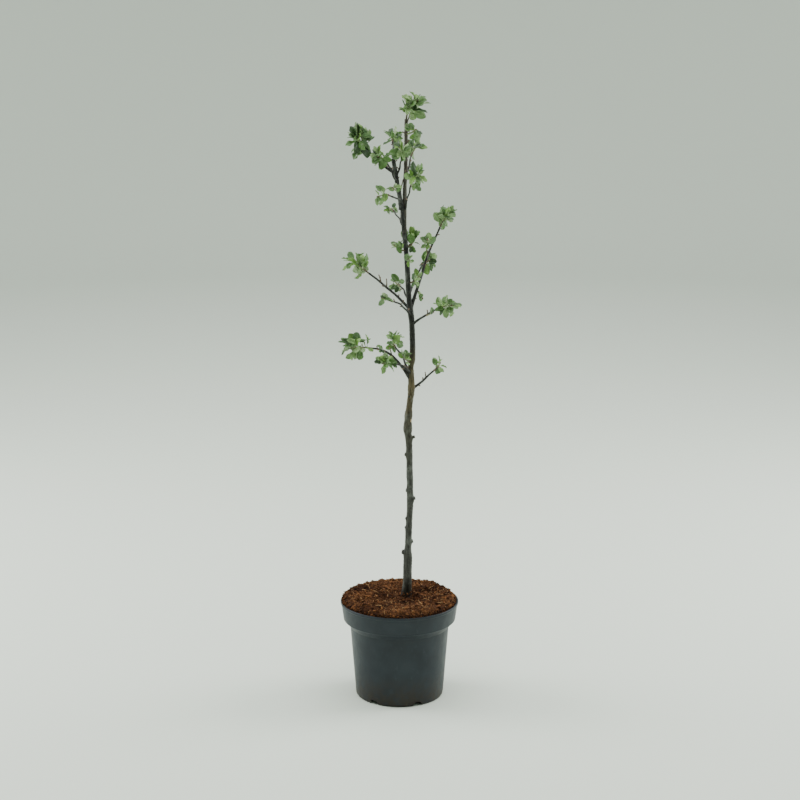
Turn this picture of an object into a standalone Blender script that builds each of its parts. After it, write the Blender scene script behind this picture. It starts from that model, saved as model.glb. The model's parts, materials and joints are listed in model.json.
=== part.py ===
"""A dwarf apple tree in a five litre nursery pot, grown from named sizes. Metres, +Z up.

The origin is the middle of the pot's flat underside. Seen from the front, +X is to the right
and +Y points away. An azimuth of 0 points along +X and of 90 along +Y.
"""
import math
import random
from collections import namedtuple

import bmesh
import bpy
import numpy as np
from mathutils import Matrix, Vector

# Clearances
CLEAR = 0.0003
LEAF_CLEAR = 0.0008
ROOM_CLEAR = 0.00033
WELD = 0.000001

# Pot
POT_HEIGHT = 0.179
POT_FOOT_R = 0.0800
POT_LEDGE_R = 0.0905
POT_LEDGE_Z = 0.1315
COLLAR_FOOT_R = 0.1026
COLLAR_FOOT_Z = 0.1445
COLLAR_TOP_R = 0.1066
RIM_R = 0.1080
RIM_DEPTH = 0.0055
POT_WALL = 0.0020
POT_FLOOR = 0.0092
FOOT_CHAMFER = 0.0025
FOOT_SWELL = 0.0005
FOOT_INSET = 0.0015
TURNED_STEPS = 40
TURNED_MERGE = 0.00005
DRAIN_SLOTS = 6
DRAIN_PHASE = 24.0
# Drain notches: length, width at the top, width at the floor, and height
DRAIN_SIZE = (0.030, 0.0120, 0.0210, 0.0080)

# Soil
SOIL_EDGE_Z = 0.1785
SOIL_CREST_R = 0.0900
SOIL_CREST_Z = 0.1885
SOIL_SEAT_R = 0.0300
SOIL_SEAT_Z = 0.1845

# Trunk: bends of its middle line as height and offset to the right
GROUND_Z = SOIL_SEAT_Z + CLEAR
TRUNK_BENDS = (
    (GROUND_Z, 0.0122), (0.205, 0.0138), (0.255, 0.0152), (0.312, 0.0168), (0.369, 0.0192),
    (0.440, 0.0180), (0.472, 0.0173), (0.501, 0.0148), (0.535, 0.0170), (0.577, 0.0212),
    (0.615, 0.0203), (0.646, 0.0232), (0.697, 0.0218), (0.737, 0.0170), (0.800, 0.0134),
    (0.870, 0.0073), (0.905, 0.0036),
)
TRUNK_TOP_Z = 0.905
TRUNK_SWAY = 0.0030
TRUNK_SWAYS = 2.5
# Radii of the trunk at heights along it
TRUNK_RADII = (
    (GROUND_Z, 0.0064), (0.330, 0.0058), (0.390, 0.0057), (0.450, 0.0059), (0.520, 0.0057),
    (0.580, 0.0055), (0.640, 0.0052), (0.720, 0.0048), (0.800, 0.0044), (0.905, 0.0040),
)
FLARE_R = 0.0038
FLARE_HEIGHT = 0.0080
BUTT_R = 0.0018
BUTT_TOP_Z = 0.266
TRUNK_RING = 0.016
TRUNK_DETAIL = 2
# Knuckles of the bark: height, extra radius and half height
KNUCKLES = (
    (0.502, 0.0024, 0.010), (0.526, 0.0014, 0.010), (0.577, 0.0010, 0.009),
    (0.628, 0.0013, 0.007), (0.715, 0.0008, 0.012),
)
# Pruned stubs: height, azimuth, radius and how far they stand out of the bark
STUBS = (
    (0.268, 188, 0.0048, 0.0050), (0.289, 5, 0.0036, 0.0030), (0.3155, 175, 0.0024, 0.0020),
    (0.333, 190, 0.0028, 0.0018), (0.350, 268, 0.0030, 0.0016), (0.371, 352, 0.0036, 0.0040),
    (0.387, 184, 0.0040, 0.0022), (0.410, 78, 0.0034, 0.0024), (0.453, 186, 0.0036, 0.0030),
    (0.484, 2, 0.0030, 0.0062), (0.560, 250, 0.0030, 0.0016), (0.606, 60, 0.0030, 0.0020),
)
STUB_TAPER = (1.3, 0.75)
STUB_LEAN = 0.25

# Limbs: each leaves its parent's middle line at a height and reaches out to its tip
Limb = namedtuple("Limb", "parent height azimuth reach rise root_r tip_r bow")
LIMBS = {
    "leader_left": Limb("trunk", 0.8980, 186, 0.0158, 0.0890, 0.0043, 0.0036, 0.000),
    "leader_right": Limb("trunk", 0.8560, 25, 0.0036, 0.1990, 0.0036, 0.0030, 0.004),
    "bough_low_left": Limb("trunk", 0.5900, 200, 0.0735, 0.0640, 0.0030, 0.0017, 0.016),
    "bough_low_right": Limb("trunk", 0.5730, 31, 0.0520, 0.0330, 0.0026, 0.0016, -0.001),
    "bough_low_back": Limb("trunk", 0.5950, 118, 0.0600, 0.0450, 0.0024, 0.0015, 0.008),
    "bough_low_front": Limb("trunk", 0.6040, 240, 0.0740, 0.0300, 0.0026, 0.0015, 0.006),
    "bough_mid_left": Limb("trunk", 0.7200, 153, 0.0830, 0.0590, 0.0027, 0.0016, 0.003),
    "bough_mid_front": Limb("trunk", 0.7080, 243, 0.0740, 0.0380, 0.0022, 0.0013, 0.006),
    "bough_mid_back": Limb("trunk", 0.7300, 107, 0.0560, 0.0230, 0.0021, 0.0013, 0.005),
    "bough_mid_right": Limb("trunk", 0.6930, 316, 0.0690, 0.0390, 0.0024, 0.0014, 0.002),
    "bough_upper_right": Limb("trunk", 0.7180, 40, 0.0690, 0.1430, 0.0031, 0.0017, 0.010),
    "bough_upper_back": Limb("trunk", 0.7450, 73, 0.0880, 0.0420, 0.0025, 0.0014, 0.006),
    "bough_thin_left": Limb("trunk", 0.8650, 112, 0.0500, 0.0250, 0.0018, 0.0011, 0.002),
    "bough_small_left": Limb("leader_left", 0.9150, 238, 0.0430, 0.0130, 0.0019, 0.0012, 0.000),
    "bough_inner": Limb("leader_left", 0.9390, 246, 0.0480, 0.0470, 0.0021, 0.0013, 0.003),
    "bough_top_left": Limb("leader_left", 0.9600, 205, 0.0560, 0.0470, 0.0026, 0.0015, -0.004),
    "bough_high_left": Limb("leader_left", 0.9700, 96, 0.0440, 0.0420, 0.0020, 0.0012, 0.003),
    "bough_spur": Limb("leader_left", 0.9520, 295, 0.0220, 0.0360, 0.0018, 0.0012, 0.001),
    "bough_fork_right": Limb("leader_right", 0.8950, 292, 0.0300, 0.0500, 0.0019, 0.0012, 0.002),
    "bough_high_back": Limb("leader_right", 0.9380, 80, 0.0640, 0.0470, 0.0022, 0.0013, 0.004),
}
# The limbs that others spring from, each cut to fit round the ones before it
UPRIGHTS = ("trunk", "leader_left", "leader_right")
LIMB_RINGS = 8
LIMB_DETAIL = 1
COLLAR_SWELL = 0.35
COLLAR_LENGTH = 0.006
WANDER = 0.0012
WANDER_WAVES = (1.2, 2.0)
TAPER = 0.8

# Masses of leaves: middle and half sizes in millimetres, number of leaves, a leaf's length and
# the seed of its growth. A mass with a height grows straight from its parent there, and any
# other from its bough's tip.
Mass = namedtuple("Mass", "parent height middle half count leaf seed")
MASSES = {
    "leaves_low_left": Mass("bough_low_left", None, (-76, -36, 658), (37, 28, 28), 11, 26, 146),
    "leaves_low_right": Mass("bough_low_right", None, (70, 33, 611), (17, 18, 22), 4, 20, 138),
    "leaves_low_back": Mass("bough_low_back", None, (-10, 64, 650), (21, 25, 23), 7, 25, 48),
    "leaves_low_front": Mass("bough_low_front", None, (-26, -80, 638), (23, 24, 20), 8, 26, 34),
    "leaves_low_foot": Mass("bough_low_left", 0.648, (-36, -34, 653), (12, 12, 11), 2, 19, 389),
    "leaves_trunk_low": Mass("trunk", 0.627, (9, -18, 637), (14, 16, 17), 4, 21, 55),
    "leaves_mid_left": Mass("bough_mid_left", None, (-78, 45, 795), (30, 27, 30), 9, 26, 332),
    "leaves_mid_front": Mass("bough_mid_front", None, (-25, -75, 751), (17, 19, 15), 4, 24, 291),
    "leaves_mid_back": Mass("bough_mid_back", None, (-7, 66, 757), (18, 22, 19), 5, 23, 38),
    "leaves_mid_right": Mass("bough_mid_right", None, (84, -59, 736), (27, 27, 24), 8, 24, 242),
    "leaves_mid_foot": Mass("bough_mid_right", 0.716, (57, -48, 722), (12, 12, 11), 2, 20, 218),
    "leaves_upper_foot": Mass("bough_upper_right", 0.752, (39, 8, 742), (10, 11, 13), 2, 17, 312),
    "leaves_upper_mid": Mass("bough_upper_right", 0.826, (51, 17, 838), (17, 17, 19), 6, 22, 49),
    "leaves_upper_right": Mass("bough_upper_right", None, (82, 51, 877), (27, 27, 26), 9, 25, 14),
    "leaves_upper_back": Mass("bough_upper_back", None, (53, 99, 790), (20, 23, 26), 7, 24, 423),
    "leaves_thin_left": Mass("bough_thin_left", None, (-16, 57, 892), (15, 17, 14), 4, 19, 197),
    "leaves_small_left": Mass("bough_small_left", None, (-33, -48, 927), (17, 18, 22), 5, 22, 6),
    "leaves_inner": Mass("bough_inner", None, (-33, -60, 994), (21, 22, 24), 7, 24, 357),
    "leaves_top_left": Mass("bough_top_left", None, (-69, -35, 1020), (30, 27, 36), 12, 26, 110),
    "leaves_high_left": Mass("bough_high_left", None, (-13, 56, 1018), (22, 22, 22), 8, 24, 497),
    "leaves_spur": Mass("bough_spur", None, (2, -30, 1003), (23, 20, 20), 9, 23, 422),
    "leaves_fork_right": Mass("bough_fork_right", None, (29, -37, 959), (21, 21, 29), 8, 23, 35),
    "leaves_high_back": Mass("bough_high_back", None, (29, 77, 998), (23, 24, 23), 7, 25, 233),
    "leaves_leader_left": Mass("leader_left", 0.931, (-10, -20, 937), (16, 15, 12), 3, 22, 235),
    "leaves_side": Mass("leader_right", 1.030, (24, -12, 1036), (18, 20, 18), 6, 22, 351),
    "leaves_top": Mass("leader_right", None, (26, 0, 1079), (33, 28, 28), 12, 25, 253),
    "leaves_trunk_left": Mass("trunk", 0.826, (-5, -10, 833), (16, 17, 14), 4, 21, 166),
    "leaves_trunk_right": Mass("trunk", 0.832, (25, 5, 843), (14, 16, 27), 6, 20, 192),
    "leaves_trunk_front": Mass("trunk", 0.803, (15, -20, 811), (12, 15, 13), 3, 19, 481),
    "leaves_trunk_rear": Mass("trunk", 0.840, (5, 28, 846), (14, 17, 15), 4, 20, 496),
    "leaves_trunk_knot": Mass("trunk", 0.768, (30, -6, 776), (13, 15, 19), 4, 18, 44),
}
STEM_R = 0.0011
STEM_RINGS = 5
STEM_PAST = 0.30
TWIG_ROOT_R = 0.0008
TWIG_TIP_R = 0.0005
LEAF_WIDTH = 0.62
LEAF_THICK = 0.028
LEAF_SUNK = 0.20
LEAF_FOLD = 0.16
LEAF_DROOP = 0.18
LEAF_WIDEST = 0.12
LEAF_TIP_WIDTH = 0.92
# Places on a blade that must be free: along it, and across it in half widths
LEAF_PLACES = ((0.15, 0), (0.5, 1), (0.5, -1), (0.5, 0), (0.8, 0.7), (0.8, -0.7), (1.0, 0))
LEAF_TRIES = 14
# Growth: where twigs leave the stem, how wide they open and how much each may stray
TWIGS_FROM = 0.25
TWIGS_RUN = 0.72
TWIGS_OPEN = 1.75
OPEN_STRAY = 0.25
SPIN_STRAY = 0.4
STRAY_MORE = 0.3
REACH = (0.86, 0.99)
TWIG_STEPS = (0.35, 0.7, 1.0)
# Leaves: lengths as shares of the mass's own, slopes, and the shortest beside a twig's foot
LEAF_LENGTHS = (0.78, 1.18)
LEAF_SLOPES = (-0.45, 0.25)
FOOT_GAP = 0.22
FOOT_LENGTH = 0.62
# The way a leaf faces: sideways at random, up, and out of its mass
FACE_STRAY = 0.6
FACE_UP = 0.5
FACE_OUT = 0.8
# How much nearer to its own mass's middle than to any other's a leaf keeps
SPACE_APART = 0.06
STEM_BEND = 0.4
GOLDEN = math.radians(137.5)
MILLI = 0.001

# Colours: base colour, roughness
FINISHES = {
    "pot": ((0.040, 0.052, 0.058), 0.55),
    "soil": ((0.105, 0.042, 0.020), 0.95),
    "bark": ((0.085, 0.075, 0.062), 0.85),
    "foliage": ((0.085, 0.180, 0.045), 0.60),
}


def clear_scene():
    for found in list(bpy.data.objects):
        bpy.data.objects.remove(found, do_unlink=True)


def collection(name, hidden=False):
    made = bpy.data.collections.new(name)
    made.hide_render = hidden
    bpy.context.scene.collection.children.link(made)
    return made


def material(name):
    made = bpy.data.materials.new(name)
    made.use_nodes = True
    shader = made.node_tree.nodes["Principled BSDF"]
    colour, roughness = FINISHES[name]
    shader.inputs["Base Color"].default_value = (*colour, 1.0)
    shader.inputs["Roughness"].default_value = roughness
    shader.inputs["Metallic"].default_value = 0.0
    made.diffuse_color = (*colour, 1.0)
    return made


def add_object(name, data, home, finish=None):
    made = bpy.data.objects.new(name, data)
    home.objects.link(made)
    if finish is not None:
        data.materials.append(finish)
    return made


def as_helper(made):
    made.hide_render = True
    made.display_type = "WIRE"
    return made


def mesh_of(made):
    """The object's shape with its modifiers, as a mesh with its caps welded on."""
    graph = bpy.context.evaluated_depsgraph_get()
    mesh = bpy.data.meshes.new_from_object(made.evaluated_get(graph))
    shape = bmesh.new()
    shape.from_mesh(mesh)
    bmesh.ops.remove_doubles(shape, verts=shape.verts, dist=WELD)
    shape.to_mesh(mesh)
    shape.free()
    return mesh


def tube(name, points, radii, home, finish=None, resolution=LIMB_DETAIL):
    """A round limb along the points, thick as its radii, with flat ends."""
    curve = bpy.data.curves.new(name, "CURVE")
    curve.dimensions = "3D"
    curve.bevel_depth = 1.0
    curve.bevel_resolution = resolution
    curve.use_fill_caps = True
    spline = curve.splines.new("POLY")
    spline.points.add(len(points) - 1)
    for place, point, radius in zip(spline.points, points, radii):
        place.co = (*point, 1.0)
        place.radius = radius
    guide = add_object(name + "_guide", curve, home)
    mesh = mesh_of(guide)
    bpy.data.objects.remove(guide, do_unlink=True)
    mesh.materials.clear()
    mesh.shade_smooth()
    return add_object(name, mesh, home, finish)


def turned(name, profile, home, finish):
    """A solid turned about +Z from a profile that runs down its outer side."""
    mesh = bpy.data.meshes.new(name)
    edges = [(index, index + 1) for index in range(len(profile) - 1)]
    mesh.from_pydata([(radius, 0.0, z) for radius, z in profile], edges, [])
    made = add_object(name, mesh, home, finish)
    screw = made.modifiers.new("turn", "SCREW")
    screw.steps = TURNED_STEPS
    screw.render_steps = TURNED_STEPS
    screw.use_merge_vertices = True
    screw.merge_threshold = TURNED_MERGE
    screw.use_smooth_shade = False
    return made


def apply_modifiers(made):
    graph = bpy.context.evaluated_depsgraph_get()
    shaped = bpy.data.meshes.new_from_object(made.evaluated_get(graph))
    made.modifiers.clear()
    made.data = shaped


def join(made, pieces):
    """Joins the objects of a collection to one object, and removes them."""
    union = made.modifiers.new("join", "BOOLEAN")
    union.operation = "UNION"
    union.operand_type = "COLLECTION"
    union.collection = pieces
    apply_modifiers(made)
    for piece in list(pieces.objects):
        bpy.data.objects.remove(piece, do_unlink=True)
    bpy.data.collections.remove(pieces)
    keep_largest(made.data)


def keep_largest(mesh):
    """Drops loose scraps and the walls of sealed hollows."""
    shape = bmesh.new()
    shape.from_mesh(mesh)
    left = set(shape.verts)
    islands = []
    while left:
        island = {left.pop()}
        edge_of_island = list(island)
        while edge_of_island:
            vert = edge_of_island.pop()
            for edge in vert.link_edges:
                other = edge.other_vert(vert)
                if other in left:
                    left.remove(other)
                    island.add(other)
                    edge_of_island.append(other)
        islands.append(island)
    islands.sort(key=len)
    scraps = [vert for island in islands[:-1] for vert in island]
    bmesh.ops.delete(shape, geom=scraps, context="VERTS")
    shape.to_mesh(mesh)
    shape.free()


def smooth_line(knots, height):
    """The offset at a height on a smooth line through knots of height and offset."""
    index = 1
    while index < len(knots) - 1 and knots[index][0] < height:
        index += 1
    low, high = knots[index - 1], knots[index]
    before, after = knots[max(index - 2, 0)], knots[min(index + 1, len(knots) - 1)]
    step = high[0] - low[0]
    slope_low = (high[1] - before[1]) / (high[0] - before[0])
    slope_high = (after[1] - low[1]) / (after[0] - low[0])
    t = (height - low[0]) / step
    return (
        low[1] * (2 * t**3 - 3 * t**2 + 1) + high[1] * (3 * t**2 - 2 * t**3)
        + step * slope_low * (t**3 - 2 * t**2 + t) + step * slope_high * (t**3 - t**2)
    )


def trunk_line():
    """Points and radii of the trunk, from its flat cut at the ground to its fork."""
    rings = round((TRUNK_TOP_Z - GROUND_Z) / TRUNK_RING)
    points, radii = [], []
    for ring in range(rings + 1):
        t = ring / rings
        z = GROUND_Z + t * (TRUNK_TOP_Z - GROUND_Z)
        x = smooth_line(TRUNK_BENDS, z)
        y = TRUNK_SWAY * math.sin(2 * math.pi * TRUNK_SWAYS * t) * t * (1 - t) * 4
        radius = smooth_line(TRUNK_RADII, z)
        radius += FLARE_R * math.exp(-(z - GROUND_Z) / FLARE_HEIGHT)
        radius += BUTT_R / (1 + math.exp((z - BUTT_TOP_Z) / (FLARE_HEIGHT / 2)))
        for middle, extra, half in KNUCKLES:
            radius += extra * math.exp(-((z - middle) / half) ** 2)
        points.append(Vector((x, y, z)))
        radii.append(radius)
    # The first and last stretches are upright, so both cuts are level.
    points[0].x, points[0].y = points[1].x, points[1].y
    points[-1].x, points[-1].y = points[-2].x, points[-2].y
    return points, radii


def at_height(line, height):
    """The point and radius of a rising line at a height."""
    points, radii = line
    index = 1
    while index < len(points) - 1 and points[index].z < height:
        index += 1
    low, high = points[index - 1], points[index]
    t = (height - low.z) / (high.z - low.z)
    return low.lerp(high, t), radii[index - 1] + (radii[index] - radii[index - 1]) * t


def level(azimuth):
    return Vector((math.cos(math.radians(azimuth)), math.sin(math.radians(azimuth)), 0.0))


def limb_line(name, limb, lines):
    """Points and radii of a limb, from inside its parent to its tip."""
    rng = random.Random(name)
    start, _ = at_height(lines[limb.parent], limb.height)
    outward = level(limb.azimuth)
    across = level(limb.azimuth + 90)
    phase = rng.uniform(0, 2 * math.pi)
    waves = rng.uniform(*WANDER_WAVES)
    points, radii = [], []
    length = math.hypot(limb.reach, limb.rise)
    for ring in range(LIMB_RINGS):
        t = ring / (LIMB_RINGS - 1)
        wander = WANDER * math.sin(2 * math.pi * waves * t + phase) * math.sin(math.pi * t)
        rise = limb.rise * t + limb.bow * math.sin(math.pi * t)
        point = start + outward * limb.reach * t + Vector((0, 0, rise)) + across * wander
        radius = limb.root_r + (limb.tip_r - limb.root_r) * t**TAPER
        radius *= 1 + COLLAR_SWELL * math.exp(-t * length / COLLAR_LENGTH)
        points.append(point)
        radii.append(radius)
    return points, radii


def segments_of(lines):
    """The limbs as arrays of segment ends and radii, for measuring room."""
    starts, ends, radii = [], [], []
    for points, thick in lines.values():
        for index in range(len(points) - 1):
            starts.append(points[index])
            ends.append(points[index + 1])
            radii.append(max(thick[index], thick[index + 1]))
    return np.array(starts), np.array(ends), np.array(radii)


def room(points, segments):
    """The least distance from the points to the surface of any limb."""
    starts, ends, radii = segments
    runs = ends - starts
    least = math.inf
    for point in points:
        away = np.array(point) - starts
        t = np.clip((away * runs).sum(1) / (runs * runs).sum(1), 0, 1)
        gaps = np.linalg.norm(away - runs * t[:, None], axis=1) - radii
        least = min(least, gaps.min())
    return least


def own_space(name, points):
    """Whether the points lie in the mass's ellipsoid and nearer to its middle than to others'."""
    middles = np.array([mass.middle for mass in MASSES.values()], float)
    halves = np.array([mass.half for mass in MASSES.values()], float)
    offsets = (np.array(points)[:, None, :] / MILLI - middles) / halves
    depths = np.linalg.norm(offsets, axis=2)
    index = list(MASSES).index(name)
    own = depths[:, index]
    others = np.delete(depths, index, axis=1)
    return bool((own <= 1.0).all() and (others.min(axis=1) >= own + SPACE_APART).all())


def leaf_frame(direction, normal):
    side = normal.cross(direction).normalized()
    return side, direction.cross(side).normalized()


def leaf_point(root, direction, side, normal, length, along, across):
    """A point of the blade, which folds up at its edges and droops at its tip."""
    lift = LEAF_FOLD * abs(across) - LEAF_DROOP * along * along
    return root + (direction * along + side * across + normal * lift) * length


def leaf_samples(root, direction, side, normal, length):
    half = LEAF_WIDTH / 2
    return [leaf_point(root, direction, side, normal, length, along, across * half)
            for along, across in LEAF_PLACES]


def stem_line(mass, lines):
    """The mass's own stem: it starts clear of its limb and ends past the mass's middle."""
    middle = Vector(mass.middle) * MILLI
    points, radii = lines[mass.parent]
    if mass.height is None:
        out = (points[-1] - points[-2]).normalized()
        start = points[-1] + out * CLEAR
    else:
        axis, radius = at_height((points, radii), mass.height)
        above, _ = at_height((points, radii), mass.height + MILLI)
        run = (above - axis).normalized()
        out = middle - axis
        out = (out - run * out.dot(run)).normalized()
        start = axis + out * (radius + CLEAR)
    past = (middle - start).normalized() * min(mass.half) * MILLI * STEM_PAST
    end = middle + past
    bend = start + out * (end - start).length * STEM_BEND
    line = []
    for ring in range(STEM_RINGS + 1):
        t = ring / STEM_RINGS
        line.append(start * (1 - t) ** 2 + bend * 2 * t * (1 - t) + end * t**2)
    return line


def on_line(line, t):
    place = t * (len(line) - 1)
    index = min(int(place), len(line) - 2)
    return line[index].lerp(line[index + 1], place - index)


def grow(name, mass, lines, segments):
    """The stem, twigs and leaves of a mass, by a seeded rule that fills its space evenly.

    Twigs leave the stem by the golden angle and lean out to the surface of the space, and each
    ends in a leaf. What would leave the space or touch a limb is tried again, then skipped.
    """
    rng = random.Random(f"{name}_{mass.seed}")
    middle = Vector(mass.middle) * MILLI
    half = Vector(mass.half) * MILLI
    stem = stem_line(mass, lines)
    axis = (stem[-1] - stem[0]).normalized()
    east = axis.orthogonal().normalized()
    north = axis.cross(east)
    turn = rng.uniform(0, 2 * math.pi)
    twigs, leaves = [], []
    for number in range(mass.count):
        t = (number + 0.5) / mass.count
        attach = on_line(stem, TWIGS_FROM + TWIGS_RUN * t)
        for attempt in range(LEAF_TRIES):
            wide = math.acos(1 - TWIGS_OPEN * (1 - t)) + rng.uniform(-OPEN_STRAY, OPEN_STRAY)
            stray = SPIN_STRAY * (1 + attempt * STRAY_MORE)
            spin = turn + GOLDEN * number + rng.uniform(-stray, stray)
            ray = axis * math.cos(wide)
            ray += (east * math.cos(spin) + north * math.sin(spin)) * math.sin(wide)
            reach = rng.uniform(*REACH)
            target = middle + Vector([a * b for a, b in zip(ray, half)]) * reach
            length = mass.leaf * MILLI * rng.uniform(*LEAF_LENGTHS)
            direction = (target - attach).normalized()
            direction = (direction + Vector((0, 0, rng.uniform(*LEAF_SLOPES)))).normalized()
            root = target - direction * length
            if (target - attach).length < length:
                root = attach + direction * length * FOOT_GAP
                length = max((target - root).length, length * FOOT_LENGTH)
            strays = rng.uniform(-FACE_STRAY, FACE_STRAY), rng.uniform(-FACE_STRAY, FACE_STRAY)
            side, normal = leaf_frame(direction, Vector((*strays, FACE_UP)) + ray * FACE_OUT)
            blade = leaf_samples(root, direction, side, normal, length)
            twig = [attach.lerp(root, step) for step in TWIG_STEPS]
            if not own_space(name, blade + twig[1:]):
                continue
            if room(blade + twig, segments) < LEAF_CLEAR:
                continue
            twigs.append((attach, root + direction * length * LEAF_SUNK))
            leaves.append((root, direction, side, normal, length))
            break
    return stem, twigs, leaves


def add_twig(name, start, end, home):
    """A three-sided twig, thinner at its end."""
    shape = bmesh.new()
    run = end - start
    bmesh.ops.create_cone(
        shape, cap_ends=True, segments=3, radius1=TWIG_ROOT_R, radius2=TWIG_TIP_R,
        depth=run.length,
    )
    turn = run.to_track_quat("Z", "Y").to_matrix().to_4x4()
    shape.transform(Matrix.Translation(start + run / 2) @ turn)
    mesh = bpy.data.meshes.new(name)
    shape.to_mesh(mesh)
    shape.free()
    return add_object(name, mesh, home)


def add_leaf(name, leaf, home):
    """A folded, drooping blade of twelve faces, bent from a sphere of one ring."""
    root, direction, side, normal, length = leaf
    shape = bmesh.new()
    bmesh.ops.create_uvsphere(shape, u_segments=6, v_segments=2, radius=1.0)
    for vert in shape.verts:
        along = (1 + vert.co.x) / 2
        if abs(vert.co.z) > 0.5:
            along += LEAF_WIDEST / 2
        elif 0.1 < along < 0.5:
            along += LEAF_WIDEST
        across = vert.co.y * LEAF_WIDTH / 2 / math.sin(math.radians(60))
        if along > (1 + LEAF_WIDEST) / 2:
            across *= LEAF_TIP_WIDTH
        place = leaf_point(root, direction, side, normal, length, along, across)
        vert.co = place + normal * vert.co.z * length * LEAF_THICK / 2
    mesh = bpy.data.meshes.new(name)
    shape.to_mesh(mesh)
    shape.free()
    return add_object(name, mesh, home)


def build_mass(name, mass, lines, segments, home, finish):
    stem, twigs, leaves = grow(name, mass, lines, segments)
    radii = [STEM_R + (TWIG_TIP_R - STEM_R) * ring / STEM_RINGS for ring in range(len(stem))]
    made = tube(name, stem, radii, home, finish, resolution=0)
    pieces = collection(name + "_pieces")
    for number, (start, end) in enumerate(twigs):
        add_twig(f"{name}_twig_{number}", start, end, pieces)
    for number, leaf in enumerate(leaves):
        add_leaf(f"{name}_leaf_{number}", leaf, pieces)
    join(made, pieces)


def build_pot(home, cutters, finish):
    profile = (
        (0.0, POT_FLOOR),
        (POT_FOOT_R - POT_WALL, POT_FLOOR),
        (POT_LEDGE_R - POT_WALL, POT_LEDGE_Z + POT_WALL / 2),
        (COLLAR_FOOT_R - POT_WALL, COLLAR_FOOT_Z + POT_WALL),
        (COLLAR_TOP_R - POT_WALL, POT_HEIGHT - POT_WALL / 2),
        (COLLAR_TOP_R - POT_WALL / 2, POT_HEIGHT),
        (RIM_R - POT_WALL / 4, POT_HEIGHT),
        (RIM_R, POT_HEIGHT - POT_WALL / 2),
        (RIM_R, POT_HEIGHT - RIM_DEPTH + POT_WALL / 2),
        (COLLAR_TOP_R, POT_HEIGHT - RIM_DEPTH),
        (COLLAR_FOOT_R, COLLAR_FOOT_Z),
        (COLLAR_FOOT_R - POT_WALL, COLLAR_FOOT_Z - POT_WALL / 2),
        (POT_LEDGE_R, POT_LEDGE_Z),
        (POT_FOOT_R + FOOT_SWELL, FOOT_CHAMFER),
        (POT_FOOT_R - FOOT_INSET, 0.0),
        (0.0, 0.0),
    )
    pot = turned("pot", profile, home, finish)
    length, top_width, floor_width, height = DRAIN_SIZE
    for slot in range(DRAIN_SLOTS):
        azimuth = DRAIN_PHASE - 90 + slot * 360 / DRAIN_SLOTS
        shape = bmesh.new()
        bmesh.ops.create_cube(shape, size=1.0)
        bmesh.ops.scale(shape, vec=(length, floor_width, 2 * height), verts=shape.verts)
        for vert in shape.verts:
            vert.co.y *= top_width / floor_width if vert.co.z > 0 else 2 - top_width / floor_width
        mesh = bpy.data.meshes.new(f"drain_{slot}")
        shape.to_mesh(mesh)
        shape.free()
        cutter = as_helper(add_object(f"drain_{slot}", mesh, cutters))
        cutter.location = level(azimuth) * POT_FOOT_R
        cutter.rotation_euler.z = math.radians(azimuth)
        cut = pot.modifiers.new(f"drain_{slot}", "BOOLEAN")
        cut.operation = "DIFFERENCE"
        cut.object = cutter


def build_soil(home, finish):
    gap = CLEAR + POT_WALL
    ledge_top = COLLAR_FOOT_Z + POT_WALL
    profile = (
        (0.0, SOIL_SEAT_Z),
        (SOIL_SEAT_R, SOIL_SEAT_Z),
        ((SOIL_SEAT_R + SOIL_CREST_R) / 2, (SOIL_SEAT_Z + SOIL_CREST_Z) / 2),
        (SOIL_CREST_R, SOIL_CREST_Z),
        ((SOIL_CREST_R + COLLAR_TOP_R) / 2, SOIL_CREST_Z - POT_WALL),
        (COLLAR_TOP_R - gap - CLEAR, SOIL_EDGE_Z),
        (COLLAR_FOOT_R - gap, ledge_top + CLEAR),
        (POT_LEDGE_R - gap, POT_LEDGE_Z + POT_WALL / 2 + CLEAR),
        (POT_FOOT_R - gap, POT_FLOOR + CLEAR),
        (0.0, POT_FLOOR + CLEAR),
    )
    turned("soil", profile, home, finish)


def build_trunk(line, home, finish):
    trunk = tube("trunk", *line, home, finish, resolution=TRUNK_DETAIL)
    pieces = collection("stubs")
    for number, (height, azimuth, radius, stands) in enumerate(STUBS):
        axis, thick = at_height(line, height)
        outward = (level(azimuth) + Vector((0, 0, STUB_LEAN))).normalized()
        points = [axis, axis + outward * (thick + stands)]
        radii = [radius * share for share in STUB_TAPER]
        tube(f"stub_{number}", points, radii, pieces, resolution=LIMB_DETAIL)
    join(trunk, pieces)


def build_limb(name, line, home, finish, rooms):
    """A limb whose root is cut to fit 0.3 mm clear round the limbs that it springs from."""
    made = tube(name, *line, home, finish)
    for cutter in rooms:
        cut = made.modifiers.new(cutter.name, "BOOLEAN")
        cut.operation = "DIFFERENCE"
        cut.object = cutter
    apply_modifiers(made)
    keep_largest(made.data)


def add_room(name, line, cutters, resolution):
    """A limb grown by the clearance, which cuts the roots of the limbs that spring from it."""
    points, radii = line
    longer = list(points)
    longer[0] = points[0] + (points[0] - points[1]).normalized() * CLEAR
    longer[-1] = points[-1] + (points[-1] - points[-2]).normalized() * CLEAR
    thicker = [radius + ROOM_CLEAR for radius in radii]
    return as_helper(tube(name + "_room", longer, thicker, cutters, resolution=resolution))


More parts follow.
